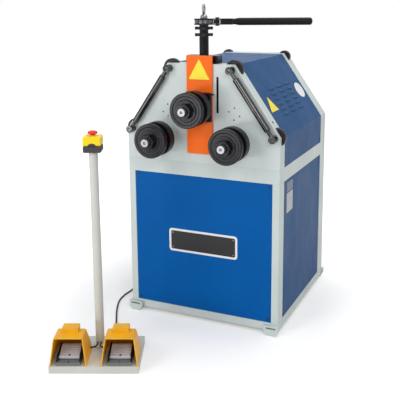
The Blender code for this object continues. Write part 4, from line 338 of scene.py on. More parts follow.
def filleted(profile, size, steps=3, closed=False):
    """A profile whose corners are rounded, each by no more than CORNER_SHARE of its shorter side."""
    points = [Vector(point) for point in profile]
    count = len(points)
    result = []
    for i, point in enumerate(points):
        if not closed and i in (0, count - 1):
            result.append(point)
            continue
        before = points[i - 1] - point
        after = points[(i + 1) % count] - point
        shorter = min(before.length, after.length)
        if shorter < SHORTEST_SIDE or before.normalized().dot(after.normalized()) < STRAIGHT:
            result.append(point)
            continue
        cut = min(size, shorter * CORNER_SHARE)
        start = point + before.normalized() * cut
        end = point + after.normalized() * cut
        for step in range(steps + 1):
            t = step / steps
            result.append(start.lerp(point, t).lerp(point.lerp(end, t), t))
    return result


def lathe(profile, segments=72, fillet=0.001, ring=False):
    """A turned solid about Z from (radius, height) points; a ring's profile is closed."""
    points = filleted(profile, fillet, closed=ring) if fillet else [Vector(point) for point in profile]
    bm = bmesh.new()
    rows = []
    for radius, height in points:
        turns = [math.tau * i / segments for i in range(segments if radius > AXIS_RADIUS else 1)]
        spots = [(radius * math.cos(turn), radius * math.sin(turn), height) for turn in turns]
        rows.append([bm.verts.new(spot) for spot in spots])
    pairs = list(zip(rows, rows[1:]))
    if ring:
        pairs.append((rows[-1], rows[0]))
    for lower, upper in pairs:
        for i in range(segments):
            j = i + 1
            corners = [row[k % len(row)] for row, k in ((lower, i), (lower, j), (upper, j), (upper, i))]
            unique = list(dict.fromkeys(corners))
            if len(unique) > 2:
                bm.faces.new(unique)
    return bm


def band(inner, outer, low, high, segments, fillet):
    """A turned ring of rectangular section."""
    return lathe([(inner, low), (outer, low), (outer, high), (inner, high)], segments, fillet, True)


def slab(outline, low, high, edge):
    """A flat outline raised along Z, with its edges rounded."""
    bm = bmesh.new()
    bottom = bm.faces.new([bm.verts.new((x, y, low)) for x, y in outline])
    raised = bmesh.ops.extrude_face_region(bm, geom=[bottom])
    top = [item for item in raised["geom"] if isinstance(item, bmesh.types.BMVert)]
    bmesh.ops.translate(bm, vec=(0.0, 0.0, high - low), verts=top)
    bmesh.ops.recalc_face_normals(bm, faces=bm.faces)
    bmesh.ops.bevel(
        bm, geom=list(bm.edges), offset=edge, segments=2, profile=0.5, affect="EDGES",
        clamp_overlap=True,
    )
    return bm


def closed_skin(rings):
    """A surface over rings of as many points each, its last ring joined to the first."""
    bm = bmesh.new()
    rows = [[bm.verts.new(spot) for spot in ring] for ring in rings]
    for first, second in zip(rows, rows[1:] + rows[:1]):
        for i in range(len(first)):
            j = (i + 1) % len(first)
            bm.faces.new((first[i], first[j], second[j], second[i]))
    return bm


def sleeve(outer, inner, low, high):
    """A closed wall between two outlines with as many points, from low to high along Z."""
    levels = ((outer, low), (outer, high), (inner, high), (inner, low))
    return closed_skin([(x, y, level) for x, y in outline] for outline, level in levels)


def round_outline(width, height, radius, steps=6):
    """A rectangle with round corners about the origin."""
    points = []
    for corner, (sx, sy) in enumerate(((1, 1), (-1, 1), (-1, -1), (1, -1))):
        for step in range(steps + 1):
            angle = QUARTER * (corner + step / steps)
            x = sx * (width / 2 - radius) + radius * math.cos(angle)
            points.append((x, sy * (height / 2 - radius) + radius * math.sin(angle)))
    return points


def ellipse(width, high, steps=40, middle=0.0):
    """An ellipse about (middle, 0)."""
    turns = [math.tau * i / steps for i in range(steps)]
    return [(middle + width / 2 * math.cos(turn), high / 2 * math.sin(turn)) for turn in turns]


def merged(*parts):
    """Several bmeshes as one; each part is a bmesh, or a bmesh and its matrix."""
    bm = bmesh.new()
    for part in parts:
        part, matrix = part if isinstance(part, tuple) else (part, Matrix())
        mesh = bpy.data.meshes.new("part")
        bmesh.ops.recalc_face_normals(part, faces=part.faces)
        part.to_mesh(mesh)
        part.free()
        mesh.transform(matrix)
        bm.from_mesh(mesh)
        bpy.data.meshes.remove(mesh)
    return bm


# Pieces

MERGE_DISTANCE = 0.00001
CUT_DISTANCE = 0.00002
SHARP_ANGLE = 0.3


def add_piece(name, data, matrix, body, finish, stands_for=None, look=None):
    """A new piece with its own origin, riding on a body, in one of the finishes.

    A look replaces the finish's own material where the piece differs a little.
    """
    piece = bpy.data.objects.new(name, data)
    bpy.context.scene.collection.objects.link(piece)
    piece.matrix_world = matrix
    data.materials.append(MATERIALS[look or finish])
    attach(piece, body)
    if stands_for:
        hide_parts(stands_for)
    return piece


def put(name, bm, matrix, body, finish, stands_for=None, angle=32.0, look=None, edge=0.0):
    """A new piece from a bmesh, with its sharp edges rounded where an edge size is given."""
    piece = add_piece(name, from_bmesh(bm, name, angle), matrix, body, finish, stands_for, look)
    if edge:
        step = piece.modifiers.new("edges", "BEVEL")
        step.width = edge
        step.segments = 2
        step.limit_method = "ANGLE"
        step.angle_limit = math.radians(30)
        step.harden_normals = True
        step.use_clamp_overlap = True
        step.miter_outer = "MITER_ARC"
    piece.modifiers.new("normals", "WEIGHTED_NORMAL").keep_sharp = True


def square_cuts(bm, least=0.05, apart=0.0002):
    """Cuts level with the ends of the long sharp edges, so that the faces split square to them."""
    for axis in range(3):
        levels = sorted(
            corner.co[axis]
            for edge in bm.edges
            if len(edge.link_faces) == 2 and edge.calc_face_angle() > SHARP_ANGLE
            and edge.calc_length() > least
            for corner in edge.verts
        )
        normal = Vector((0.0, 0.0, 0.0))
        normal[axis] = 1.0
        last = -math.inf
        for level in levels:
            if level - last < apart:
                continue
            last = level
            cut = bmesh.ops.bisect_plane(
                bm, geom=bm.verts[:] + bm.edges[:] + bm.faces[:], dist=CUT_DISTANCE,
                plane_co=normal * level, plane_no=normal,
            )
            for item in cut["geom_cut"]:
                if isinstance(item, bmesh.types.BMEdge):
                    item.seam = True


def dressed(node, edge, finish=None, look=None):
    """A copy of a CAD node with its flat faces cleaned and its edges rounded."""
    source = frame["nodes"][node]
    bm = bmesh.new()
    bm.from_mesh(source.data)
    bmesh.ops.remove_doubles(bm, verts=bm.verts, dist=MERGE_DISTANCE)
    square_cuts(bm)
    bmesh.ops.dissolve_limit(
        bm, angle_limit=math.radians(0.5), verts=bm.verts, edges=bm.edges,
        delimit={"NORMAL", "SEAM"},
    )
    bmesh.ops.connect_verts_concave(bm, faces=list(bm.faces))
    finish = finish or SLOTS[node]
    put(node + "_skin", bm, Matrix(), source["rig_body"], finish, node, 24.0, look, edge)


def at(x, y, z):
    """A place on the machine."""
    return MACHINE @ Matrix.Translation((x, y, z))


def on_stand(x, y, z):
    """A place on the stand."""
    return STAND @ Matrix.Translation((x, y, z))


# Camera at the photograph's viewing angle

CAMERA_PLACE = (1.2575, -2.7518, 1.4596)
CAMERA_YAW = math.radians(24.606)
CAMERA_PITCH = math.radians(10.879)
CAMERA_ROLL = math.radians(-0.471)


def camera():
    level = Vector((-math.sin(CAMERA_YAW), math.cos(CAMERA_YAW), 0.0))
    side = Vector((math.cos(CAMERA_YAW), math.sin(CAMERA_YAW), 0.0))
    ahead = level * math.cos(CAMERA_PITCH) - Vector((0.0, 0.0, math.sin(CAMERA_PITCH)))
    up = level * math.sin(CAMERA_PITCH) + Vector((0.0, 0.0, math.cos(CAMERA_PITCH)))
    right = side * math.cos(CAMERA_ROLL) + up * math.sin(CAMERA_ROLL)
    top = up * math.cos(CAMERA_ROLL) - side * math.sin(CAMERA_ROLL)
    data = bpy.data.cameras.new("camera")
    data.lens = 63.25
    data.sensor_width = 36.0
    data.sensor_fit = "HORIZONTAL"
    data.shift_y = -0.165
    data.clip_end = 50.0
    body = bpy.data.objects.new("camera", data)
    body.matrix_world = at(*CAMERA_PLACE) @ Matrix((right, top, -ahead)).transposed().to_4x4()
    bpy.context.scene.collection.objects.link(body)
    bpy.context.scene.camera = body


camera()


# Control cable: out of the gland in the left side, along the floor, into the stand's grommet

CABLE_RADIUS = 0.004
CABLE_POINTS = [
    (-0.3786, 0.190, 0.112), (-0.3906, 0.190, 0.112), (-0.402, 0.190, 0.1105),
    (-0.424, 0.190, 0.1000), (-0.441, 0.189, 0.0780), (-0.451, 0.186, 0.0500),
    (-0.458, 0.178, 0.0240), (-0.464, 0.163, 0.0085), (-0.469, 0.140, 0.0045),
    (-0.471, 0.110, 0.0043), (-0.469, 0.075, 0.0043), (-0.461, 0.035, 0.0043),
    (-0.445, -0.008, 0.0043), (-0.424, -0.052, 0.0043), (-0.399, -0.098, 0.0043),
    (-0.372, -0.144, 0.0043), (-0.346, -0.188, 0.0043), (-0.322, -0.231, 0.0045),
    (-0.303, -0.270, 0.0062), (-0.28201, -0.32778, 0.015), (-0.27560, -0.34244, 0.015),
]
LEAD_RADIUS = 0.0032
LEAD_POINTS = [
    (0.0307, 0.118), (0.0243, 0.118), (0.0119, 0.1244),
    (0.007, 0.13985), (0.007, 0.1553), (0.007, 0.1617),
]
LEAD_HEIGHT = 0.052


def smooth_points(route, steps=8):
    """Points on the smooth curve through the route's own points."""
    knots = [Vector(spot) for spot in route]
    ends = [knots[0] * 2 - knots[1]] + knots + [knots[-1] * 2 - knots[-2]]
    fine = []
    for i in range(1, len(ends) - 2):
        before, first, second, after = ends[i - 1:i + 3]
        square = before * 2 - first * 5 + second * 4 - after
        cube = first * 3 - before - second * 3 + after
        for step in range(steps):
            t = step / steps
            fine.append((first * 2 + (second - before) * t + square * t * t + cube * t * t * t) / 2)
    fine.append(knots[-1])
    return fine


def tube(name, points, radius, matrix, finish, stands_for=None, shares=None):
    """A round tube along points; shares are its radius at each point, in parts of the radius."""
    curve = bpy.data.curves.new(name, "CURVE")
    curve.dimensions = "3D"
    curve.bevel_depth = radius
    curve.bevel_resolution = 5
    curve.use_fill_caps = True
    spline = curve.splines.new("POLY")
    spline.points.add(len(points) - 1)
    for i, (point, spot) in enumerate(zip(spline.points, points)):
        point.co = (*spot, 1)
        if shares is not None:
            point.radius = shares[i]
    spline.use_smooth = True
    return add_piece(name, curve, matrix, "machine", finish, stands_for)


cable = tube(
    "cable", smooth_points(CABLE_POINTS), CABLE_RADIUS, MACHINE, "cord_rubber", "control_cable"
)
for side, word in SIDES:
    route = smooth_points([(side * x, y, LEAD_HEIGHT) for x, y in LEAD_POINTS])
    tube("lead_" + word, route, LEAD_RADIUS, STAND, "cord_rubber", "pedal_lead_" + word)


# Cable gland: a hexagon body on the side panel and a ribbed relief that tapers along the cable

GLAND_SEAT = -0.3623
GLAND_NUT_THICK = 0.0075
GLAND_NUT_FLATS = 0.021
RELIEF_END = -0.4085
RELIEF_START_SHARE = 2.05
RELIEF_END_SHARE = 1.22
RELIEF_RIB_SHARE = 0.14


def strain_relief():
    """The relief follows the cable's own curve, thinner towards its end, with rings moulded on."""
    start = GLAND_SEAT - GLAND_NUT_THICK - 0.0005
    x, y, z = CABLE_POINTS[0]
    route = [Vector((start + (x - start) * i / 6, y, z)) for i in range(6)]
    for spot in smooth_points(CABLE_POINTS, 12):
        if spot.x < RELIEF_END:
            break
        route.append(spot)
    shares = []
    for i, spot in enumerate(route):
        along = (route[0].x - spot.x) / (route[0].x - RELIEF_END)
        rib = RELIEF_RIB_SHARE if i % 4 < 2 and 0.1 < along < 0.9 else 0.0
        shares.append(RELIEF_START_SHARE + (RELIEF_END_SHARE - RELIEF_START_SHARE) * along + rib)
    tube("strain_relief", route, CABLE_RADIUS, MACHINE, "black_plastic", shares=shares)


strain_relief()


# Sheets and blocks, with the sizes of their rounded edges

for node, edge in (
    ("machine_frame", 0.0018), ("face_plate", 0.0012), ("hood", 0.0010), ("front_panel", 0.0010),
    ("rear_panel", 0.0010), ("rear_head_panel", 0.0010), ("side_panel_left", 0.0010),
    ("side_panel_right", 0.0010), ("crosshead", 0.0006), ("stand_base", 0.0012),
):
    dressed(node, edge)
for side, word in SIDES:
    dressed("pedal_hood_" + word, 0.0010)
    # The pedal bases take the darker copy of the pedal grey, a painted shade.
    dressed("pedal_base_" + word, 0.0010, look="base_grey_painted_shade")
    dressed("pedal_tread_" + word, 0.0012, look="tread_grey")
for node, edge in (
    ("stop_box_base", 0.0008), ("stop_box_cover", 0.0008), ("slide_cover", 0.0010),
    ("top_bearing_block", 0.0008), ("handle_fork", 0.0006),
):
    dressed(node, edge)
dressed("pawl", 0.0006, "black_steel")
dressed("ratchet_wheel", 0.0004)


# Rolls, shafts and nuts

ROLL_RADIUS = 0.076
ROLL_GROOVE_RADIUS = 0.056
ROLL_CHAMFER = 0.003
ROLL_FRONT = -0.149
ROLL_REAR = -0.052
ROLL_FRONT_DISC = 0.024
ROLL_REAR_DISC = 0.040
SHAFT_RADIUS = 0.025
SHAFT_END_RADIUS = 0.020
SHAFT_FRONT = -0.192
SHAFT_FRONT_CHAMFER = 0.0028
SHAFT_REAR_CHAMFER = 0.0025
THREAD_START = 0.0042
THREAD_PITCH = 0.0020
THREAD_DEPTH = 0.0009
THREAD_TURNS = 6
COLLAR_RADIUS = 0.036
HUB_RADIUS = 0.060
HUB_SINK = 0.0022
WASHER_RADIUS = 0.046
WASHER_THICK = 0.005
NUT_FLATS = 0.060
NUT_THICK = 0.023
NUT_TURN = math.radians(8)
NUT_CROWN_SHARE = 0.985
NUT_CHAMFER = math.radians(30)


def roll():
    """A section roll: two discs, the groove between them, and a recessed ring on its front."""
    bore = SHAFT_RADIUS + GAP
    rim = ROLL_RADIUS - ROLL_CHAMFER
    rear_face = ROLL_REAR - ROLL_REAR_DISC
    front_face = ROLL_FRONT + ROLL_FRONT_DISC
    sunk = ROLL_FRONT + HUB_SINK
    return lathe(
        [
            (bore, ROLL_REAR), (rim, ROLL_REAR), (ROLL_RADIUS, ROLL_REAR - ROLL_CHAMFER),
            (ROLL_RADIUS, rear_face + ROLL_CHAMFER), (rim, rear_face),
            (ROLL_GROOVE_RADIUS, rear_face), (ROLL_GROOVE_RADIUS, front_face), (rim, front_face),
            (ROLL_RADIUS, front_face - ROLL_CHAMFER), (ROLL_RADIUS, ROLL_FRONT + ROLL_CHAMFER),
            (rim, ROLL_FRONT), (HUB_RADIUS + HUB_SINK, ROLL_FRONT), (HUB_RADIUS, sunk),
            (WASHER_RADIUS + 0.003, sunk), (WASHER_RADIUS + 0.001, ROLL_FRONT), (bore, ROLL_FRONT),
        ],
        112, 0.0010, True,
    )


def hex_nut(flats, thick, bore, sides=6, samples=16):
    """A hexagon nut with chamfered corners on both ends, its front at height 0."""
    crown = flats / 2 * NUT_CROWN_SHARE
    rings = []
    for i in range(sides * samples):
        angle = math.tau * i / (sides * samples)
        radius = flats / 2 / math.cos(angle % (math.tau / sides) - math.pi / sides)
        drop = (radius - crown) * math.tan(NUT_CHAMFER)
        section = (
            (bore, 0.0), (crown, 0.0), (radius, drop),
            (radius, thick - drop), (crown, thick), (bore, thick),
        )
        rings.append([(out * math.cos(angle), out * math.sin(angle), height) for out, height in section])
    return closed_skin(rings)


def nut_and_washer():
    seat = ROLL_FRONT - GAP
    inner = SHAFT_END_RADIUS + GAP
    washer = band(inner, WASHER_RADIUS, seat, seat - WASHER_THICK, 96, 0.0008)
    nut = hex_nut(NUT_FLATS, NUT_THICK + 0.0005, inner)
    front = Matrix.Translation((0.0, 0.0, seat - WASHER_THICK - NUT_THICK))
    return merged(washer, (nut, front @ Matrix.Rotation(-NUT_TURN, 4, "Z")))


def shaft(collar_rear, rear):
    """A roll shaft with thread grooves and a centre hole in its front end."""
    profile = [
        (0.0, SHAFT_FRONT + 0.009), (0.0042, SHAFT_FRONT + 0.0042), (0.0062, SHAFT_FRONT),
        (SHAFT_END_RADIUS - SHAFT_FRONT_CHAMFER, SHAFT_FRONT),
        (SHAFT_END_RADIUS, SHAFT_FRONT + SHAFT_FRONT_CHAMFER),
    ]
    for number in range(THREAD_TURNS):
        height = SHAFT_FRONT + THREAD_START + THREAD_PITCH * number
        profile.append((SHAFT_END_RADIUS - THREAD_DEPTH, height))
        profile.append((SHAFT_END_RADIUS, height + THREAD_PITCH / 2))
    profile += [
        (SHAFT_END_RADIUS, ROLL_FRONT + GAP), (SHAFT_RADIUS, ROLL_FRONT + GAP),
        (SHAFT_RADIUS, ROLL_REAR + GAP), (COLLAR_RADIUS, ROLL_REAR + GAP),
        (COLLAR_RADIUS, collar_rear), (SHAFT_RADIUS, collar_rear),
        (SHAFT_RADIUS, rear - SHAFT_REAR_CHAMFER), (SHAFT_RADIUS - SHAFT_REAR_CHAMFER, rear),
        (0.0, rear),
    ]
    return lathe(profile, 72, 0.0)


# Each shaft's x, z and body, and the rear of its collar and of the shaft itself
SHAFTS = {
    "top": (0.0, 1.001, "top_roller", -0.0298, 0.1997),
    "left": (-0.1755, 0.859, "left_roller", -0.0405, 0.388),
    "right": (0.1755, 0.859, "right_roller", -0.0405, 0.388),
}
for word, (x, z, body, collar_rear, rear) in SHAFTS.items():
    spot = at(x, 0.0, z) @ ALONG_BACK
    put(word + "_roll_turned", roll(), spot, body, "roll_steel", word + "_roll")
    put(word + "_nut_turned", nut_and_washer(), spot, body, "black_steel", word + "_roll_nut", 25.0)
    put(
        word + "_shaft_turned", shaft(collar_rear, rear), spot, body, "bright_steel",
        word + "_shaft", 25.0, "shaft_steel",
    )


# Buffers at the head's corners

FRONT_BUFFER_RADIUS = 0.0415
REAR_BUFFER_RADIUS = 0.031
BUFFER_THICK = 0.025
REAR_BUFFER_BACK = 0.020
POST_ALONG = 0.0135
POST_INSET = 0.021
REAR_BUFFER_INSET = 0.013

run = Vector((HALF_TOP - HALF_WIDTH, HEAD_HEIGHT - SHOULDER_HEIGHT))
SLOPE_LENGTH = run.length
SLOPE = run.normalized()
OUTWARD = Vector((SLOPE.y, -SLOPE.x))


def on_slope(along, inset):
    """A place (x, z) along the right slanted edge and inside it."""
    return (
        HALF_WIDTH + SLOPE.x * along - OUTWARD.x * inset,
        SHOULDER_HEIGHT + SLOPE.y * along - OUTWARD.y * inset,
    )


def disc(radius):
    """A round rubber buffer with a raised rim on its face."""
    return lathe(
        [
            (0.0, 0.0022), (radius * 0.55, 0.0022), (radius * 0.60, 0.0006),
            (radius - 0.0035, 0.0), (radius, 0.0035), (radius, BUFFER_THICK - 0.003),
            (radius - 0.003, BUFFER_THICK), (0.0, BUFFER_THICK),
        ],
        72, 0.0012,
    )


UPPER_POST = on_slope(SLOPE_LENGTH - POST_ALONG, POST_INSET)
LOWER_POST = on_slope(POST_ALONG, POST_INSET)
REAR_POST = on_slope(SLOPE_LENGTH - REAR_BUFFER_INSET, REAR_BUFFER_INSET)
for side, word in SIDES:
    for (x, z), level in ((UPPER_POST, "top"), (LOWER_POST, "shoulder")):
        name = level + "_" + word
        spot = at(side * x, FACE_THICK + 2 * GAP, z) @ ALONG_BACK
        put("disc_" + name, disc(FRONT_BUFFER_RADIUS), spot, "machine", "rubber", "buffer_front_" + name)
    x, z = REAR_POST
    spot = at(side * x, FRAME_DEPTH - REAR_BUFFER_BACK - BUFFER_THICK, z) @ ALONG_BACK
    put("disc_rear_" + word, disc(REAR_BUFFER_RADIUS), spot, "machine", "rubber", "buffer_rear_" + word)


# Guide rods with their posts

ROD_RADIUS = 0.014
ROD_CHAMFER = 0.004
ROD_NECK = 0.0085
ROD_STANDOFF = 0.0195
ROD_POST_RADIUS = 0.017
ROD_POST_LENGTH = 0.037
ROD_NECK_LENGTH = 0.022


def guide_rod(side):
    lower, upper = (Vector((side * x, -ROD_STANDOFF, z)) for x, z in (LOWER_POST, UPPER_POST))
    span = (upper - lower).length
    neck = ROD_NECK_LENGTH + ROD_POST_RADIUS
    bar = lathe(
        [
            (0.0, 0.0), (ROD_NECK, 0.0), (ROD_NECK, neck), (ROD_RADIUS, neck + ROD_CHAMFER),
            (ROD_RADIUS, span - neck - ROD_CHAMFER), (ROD_NECK, span - neck), (ROD_NECK, span),
            (0.0, span),
        ],
        56, 0.0008,
    )
    turn = (upper - lower).to_track_quat("Z", "Y").to_matrix().to_4x4()
    parts = [(bar, Matrix.Translation(lower) @ turn)]
    for spot in (lower, upper):
        post = lathe(
            [
                (0.0, 0.0025), (0.0060, 0.0025), (0.0068, 0.0), (ROD_POST_RADIUS - 0.002, 0.0),
                (ROD_POST_RADIUS, 0.002), (ROD_POST_RADIUS, ROD_POST_LENGTH), (0.0, ROD_POST_LENGTH),
            ],
            56, 0.0006,
        )
        parts.append((post, Matrix.Translation((spot.x, -GAP - ROD_POST_LENGTH, spot.z)) @ ALONG_BACK))
    return merged(*parts)


for side, word in SIDES:
    put(
        "rod_" + word, guide_rod(side), MACHINE, "machine", "black_steel", "guide_rod_" + word,
        look="polished_black",
    )


# Lift tube, collars, eye and handle grip

NUT_TUBE_TOP = 1.3775
NUT_TUBE_RADIUS = 0.0205
NUT_TUBE_BORE = 0.0145
NUT_TUBE_CAP = 0.0115
NUT_TUBE_CHAMFER = 0.00125
WAIST_DEPTH = 0.0012
WAIST_EASE = 0.001
WAIST_LOW = 1.2975
WAIST_HIGH = 1.3465
FLANGE_RADIUS = 0.028
FLANGE_THICK = 0.006
FLANGE_TOP = HEAD_HEIGHT + GAP + 0.035
COLLAR_THICK = 0.008
COLLAR_LOW = HEAD_HEIGHT - GAP - COLLAR_THICK
COLLAR_OUTER = 0.0234
CLAMP_LEVELS = (1.308, 1.336)
CLAMP_SCREWS = 4
CLAMP_OUT = 0.0285
WHEEL_LOW = 1.3560
WHEEL_THICK = 0.0150


def cap_screw(radius, length, socket, shank_radius, shank_length):
    """A cylinder-head screw with a round socket; its head starts at 0 and rises along Z."""
    return lathe(
        [
            (0.0, length - socket), (radius * 0.46, length - socket), (radius * 0.52, length),
            (radius * 0.90, length), (radius, length - radius * 0.12), (radius, 0.0),
            (shank_radius, 0.0), (shank_radius, -shank_length), (0.0, -shank_length),
        ],
        32, 0.0,
    )


def lift_tube():
    """The tube with its flange and waist, and two clamp rings with their screws."""
    waist = NUT_TUBE_RADIUS - WAIST_DEPTH
    cap_low = NUT_TUBE_TOP - NUT_TUBE_CAP
    body = lathe(
        [
            (0.0, NUT_TUBE_TOP), (NUT_TUBE_RADIUS - NUT_TUBE_CHAMFER, NUT_TUBE_TOP),
            (NUT_TUBE_RADIUS, NUT_TUBE_TOP - NUT_TUBE_CHAMFER), (NUT_TUBE_RADIUS, WAIST_HIGH),
            (waist, WAIST_HIGH - WAIST_EASE), (waist, WAIST_LOW + WAIST_EASE),
            (NUT_TUBE_RADIUS, WAIST_LOW), (NUT_TUBE_RADIUS, FLANGE_TOP),
            (FLANGE_RADIUS, FLANGE_TOP), (FLANGE_RADIUS, FLANGE_TOP - FLANGE_THICK),
            (NUT_TUBE_RADIUS, FLANGE_TOP - FLANGE_THICK), (NUT_TUBE_RADIUS, COLLAR_LOW),
            (NUT_TUBE_BORE, COLLAR_LOW), (NUT_TUBE_BORE, cap_low), (0.0, cap_low),
        ],
        80, 0.0006,
    )
    parts = [(body, Matrix.Translation((0.0, SCREW_Y, 0.0)))]
    for level in CLAMP_LEVELS:
        middle = Matrix.Translation((0.0, SCREW_Y, level))
        parts.append((band(0.0190, 0.0276, 0.0065, -0.0065, 64, 0.0012), middle))
        for number in range(CLAMP_SCREWS):
            turn = Matrix.Rotation(STAND_TURN + math.tau * number / CLAMP_SCREWS, 4, "Z")
            out = Matrix.Translation((CLAMP_OUT, 0.0, 0.0)) @ ALONG_RIGHT
            parts.append((cap_screw(0.0068, 0.0105, 0.0034, 0.0054, 0.010), middle @ turn @ out))
    return merged(*parts)


put("lift_tube", lift_tube(), MACHINE, "lift_nut", "black_steel", "lift_nut_tube")
put(
    "collar_ring",
    band(NUT_TUBE_RADIUS + GAP, COLLAR_OUTER, COLLAR_LOW, COLLAR_LOW + COLLAR_THICK, 64, 0.0008),
    at(0.0, SCREW_Y, 0.0), "lift_nut", "black_steel", "thrust_collar",
)

EYE_TURN = math.radians(15)
EYE_RING_RADIUS = 0.0175
EYE_WIRE_RADIUS = 0.0050
EYE_COLLAR_HEIGHT = 0.018
EYE_SINK = 0.002


def lifting_eye():
    """A forged ring standing on its collar."""
    low = NUT_TUBE_TOP + GAP
    top = low + EYE_COLLAR_HEIGHT
    collar = lathe(
        [
            (0.0, low), (0.0155, low), (0.0155, low + 0.009), (0.0101, low + 0.0153),
            (0.0078, top), (0.0, top),
        ],
        64, 0.0016,
    )
    wire = ellipse(2 * EYE_WIRE_RADIUS, 2 * EYE_WIRE_RADIUS, 20, EYE_RING_RADIUS)
    middle = Matrix.Translation((0.0, 0.0, top + EYE_RING_RADIUS + EYE_WIRE_RADIUS - EYE_SINK))
    turn = Matrix.Rotation(EYE_TURN, 4, "Z")
    return merged(collar, (lathe(wire, 72, 0.0, True), middle @ turn @ ALONG_RIGHT))


put(
    "eye_forged", lifting_eye(), at(0.0, SCREW_Y, 0.0), "lift_nut", "black_steel", "lifting_eye",
    look="worn_steel",
)

# A spacer closes the fork between the pawl's back and the neck.
HANDLE = at(0.0, SCREW_Y, WHEEL_LOW + WHEEL_THICK / 2) @ Matrix.Rotation(HANDLE_TURN, 4, "Z")
SPACER_START = 0.0712
SPACER_END = 0.0785
SPACER_HALF = 0.0126
SPACER_OUTLINE = (
    (SPACER_START, -SPACER_HALF), (SPACER_END, -SPACER_HALF),
    (SPACER_END, SPACER_HALF), (SPACER_START, SPACER_HALF),
)
put(
    "fork_spacer", slab(SPACER_OUTLINE, -WHEEL_THICK / 2 - GAP, WHEEL_THICK / 2 + GAP, 0.0004),
    HANDLE, "handle", "black_steel",
)

GRIP_START = 0.126
GRIP_END = 0.463
GRIP_RADIUS = 0.0157
GRIP_MOUTH_RADIUS = 0.0118
GRIP_TAPER = 0.028
GRIP_DOME_SHARE = 0.7
GRIP_BORE_RADIUS = 0.0093
GRIP_BORE_DEPTH = 0.0583


def grip():
    """A moulded tube grip that swells from its narrow mouth and ends in a dome."""
    length = GRIP_END - GRIP_START
    dome = []
    swell = []
    for step in range(9):
        share = step / 8
        angle = QUARTER * share
        drop = GRIP_RADIUS * (1 - math.cos(angle)) * GRIP_DOME_SHARE
        dome.append((GRIP_RADIUS * math.sin(angle), length - drop))
        rise = share * share * (3 - 2 * share)
        radius = GRIP_RADIUS + (GRIP_MOUTH_RADIUS - GRIP_RADIUS) * rise
        swell.append((radius, GRIP_TAPER * (1 - share) + GAP))
    bore = [(GRIP_BORE_RADIUS, GAP), (GRIP_BORE_RADIUS, GRIP_BORE_DEPTH), (0.0, GRIP_BORE_DEPTH)]
    return lathe(dome + swell + bore, 64, 0.0)


put(
    "grip_moulded", grip(), HANDLE @ Matrix.Translation((GRIP_START, 0.0, 0.0)) @ ALONG_RIGHT,
    "handle", "black_plastic", "handle_grip",
)


# Stand post, grommet, gland and stop button

POST_Y = 0.180
POST_TOP = 0.8645
POST_RADIUS = 0.018
POST_FOOT_RADIUS = 0.030
POST_LOW = 0.030 + GAP
POST_FOOT_TOP = POST_LOW + 0.006
WELD_SIZE = 0.0035
STOP_SPLIT = POST_TOP + GAP + 0.028
STOP_TOP = STOP_SPLIT + 0.0365
STOP_FRONT = POST_Y - 0.034

put(
    "post_tube",
    lathe(
        [
            (0.0, POST_TOP), (POST_RADIUS, POST_TOP), (POST_RADIUS, POST_FOOT_TOP + WELD_SIZE),
            (POST_RADIUS + WELD_SIZE, POST_FOOT_TOP), (POST_FOOT_RADIUS, POST_FOOT_TOP),
            (POST_FOOT_RADIUS, POST_LOW), (0.0, POST_LOW),
        ],
    ),
    on_stand(0.0, POST_Y, 0.0), "machine", "stand_paint", "stand_post",
)
put(
    "grommet_ring", lathe([(0.0, 0.005), (0.008, 0.005), (0.008, 0.0), (0.0, 0.0)], 48, 0.0014),
    on_stand(0.035, 0.260 + GAP, 0.015) @ ALONG_BACK, "machine", "black_plastic", "stand_grommet",
)

gland_bore = CABLE_RADIUS + GAP
gland_sleeve = lathe(
    [
        (0.0108, GLAND_NUT_THICK), (0.0108, GLAND_NUT_THICK + 0.0012),
        (0.0090, GLAND_NUT_THICK + 0.0026), (0.0090, GLAND_NUT_THICK + 0.0048),
        (gland_bore, GLAND_NUT_THICK + 0.0048), (gland_bore, GLAND_NUT_THICK),
    ],
    48, 0.0003, True,
)
put(
    "gland_body", merged(hex_nut(GLAND_NUT_FLATS, GLAND_NUT_THICK, gland_bore), gland_sleeve),
    at(GLAND_SEAT, *CABLE_POINTS[0][1:]) @ ALONG_LEFT, "machine", "black_plastic", "cable_gland", 25.0,
)


def mushroom():
    """The stop button's domed cap on its stem."""
    cap, lift, high, stem, depth = 0.020, 0.0085, 0.0125, 0.0095, 0.010
    dome = []
    for step in range(9):
        angle = QUARTER * step / 8
        dome.append((cap * math.sin(angle) ** 0.8, lift + high * (0.42 + 0.58 * math.cos(angle))))
    rest = [(cap, lift + high * 0.10), (cap * 0.94, lift), (stem, lift), (stem, -depth), (0.0, -depth)]
    return lathe(dome + rest, 72, 0.0008)


put("button_cap", mushroom(), on_stand(0.0, POST_Y, STOP_TOP), "stop", "stop_red", "stop_button")

# The dark boss over the notch in the stop box's front is half an ellipse.
put(
    "stop_boss", slab(ellipse(0.0320, 0.0216, 48)[:25], -0.0005, 0.0010, 0.0003),
    on_stand(0.0, STOP_FRONT, STOP_SPLIT + GAP) @ ALONG_FRONT, "machine", "dark_plastic",
)


# Panel screws, signs, plates and labels

PANEL_SCREW = (0.0052, 0.0024)
SCREW_INSET = 0.0145
SCREW_DROP = 0.0155
HEAD_SCREW_LIFT = 0.018
HEAD_SIDE_INSET = 0.002


def panel_screw(radius, high):
    """A low domed panel screw with a round socket."""
    return lathe(
        [
            (0.0, high * 0.35), (radius * 0.40, high * 0.35), (radius * 0.44, high),
            (radius * 0.80, high * 0.86), (radius, high * 0.25), (radius, -0.0005), (0.0, -0.0005),
        ],
        32, 0.0,
    )


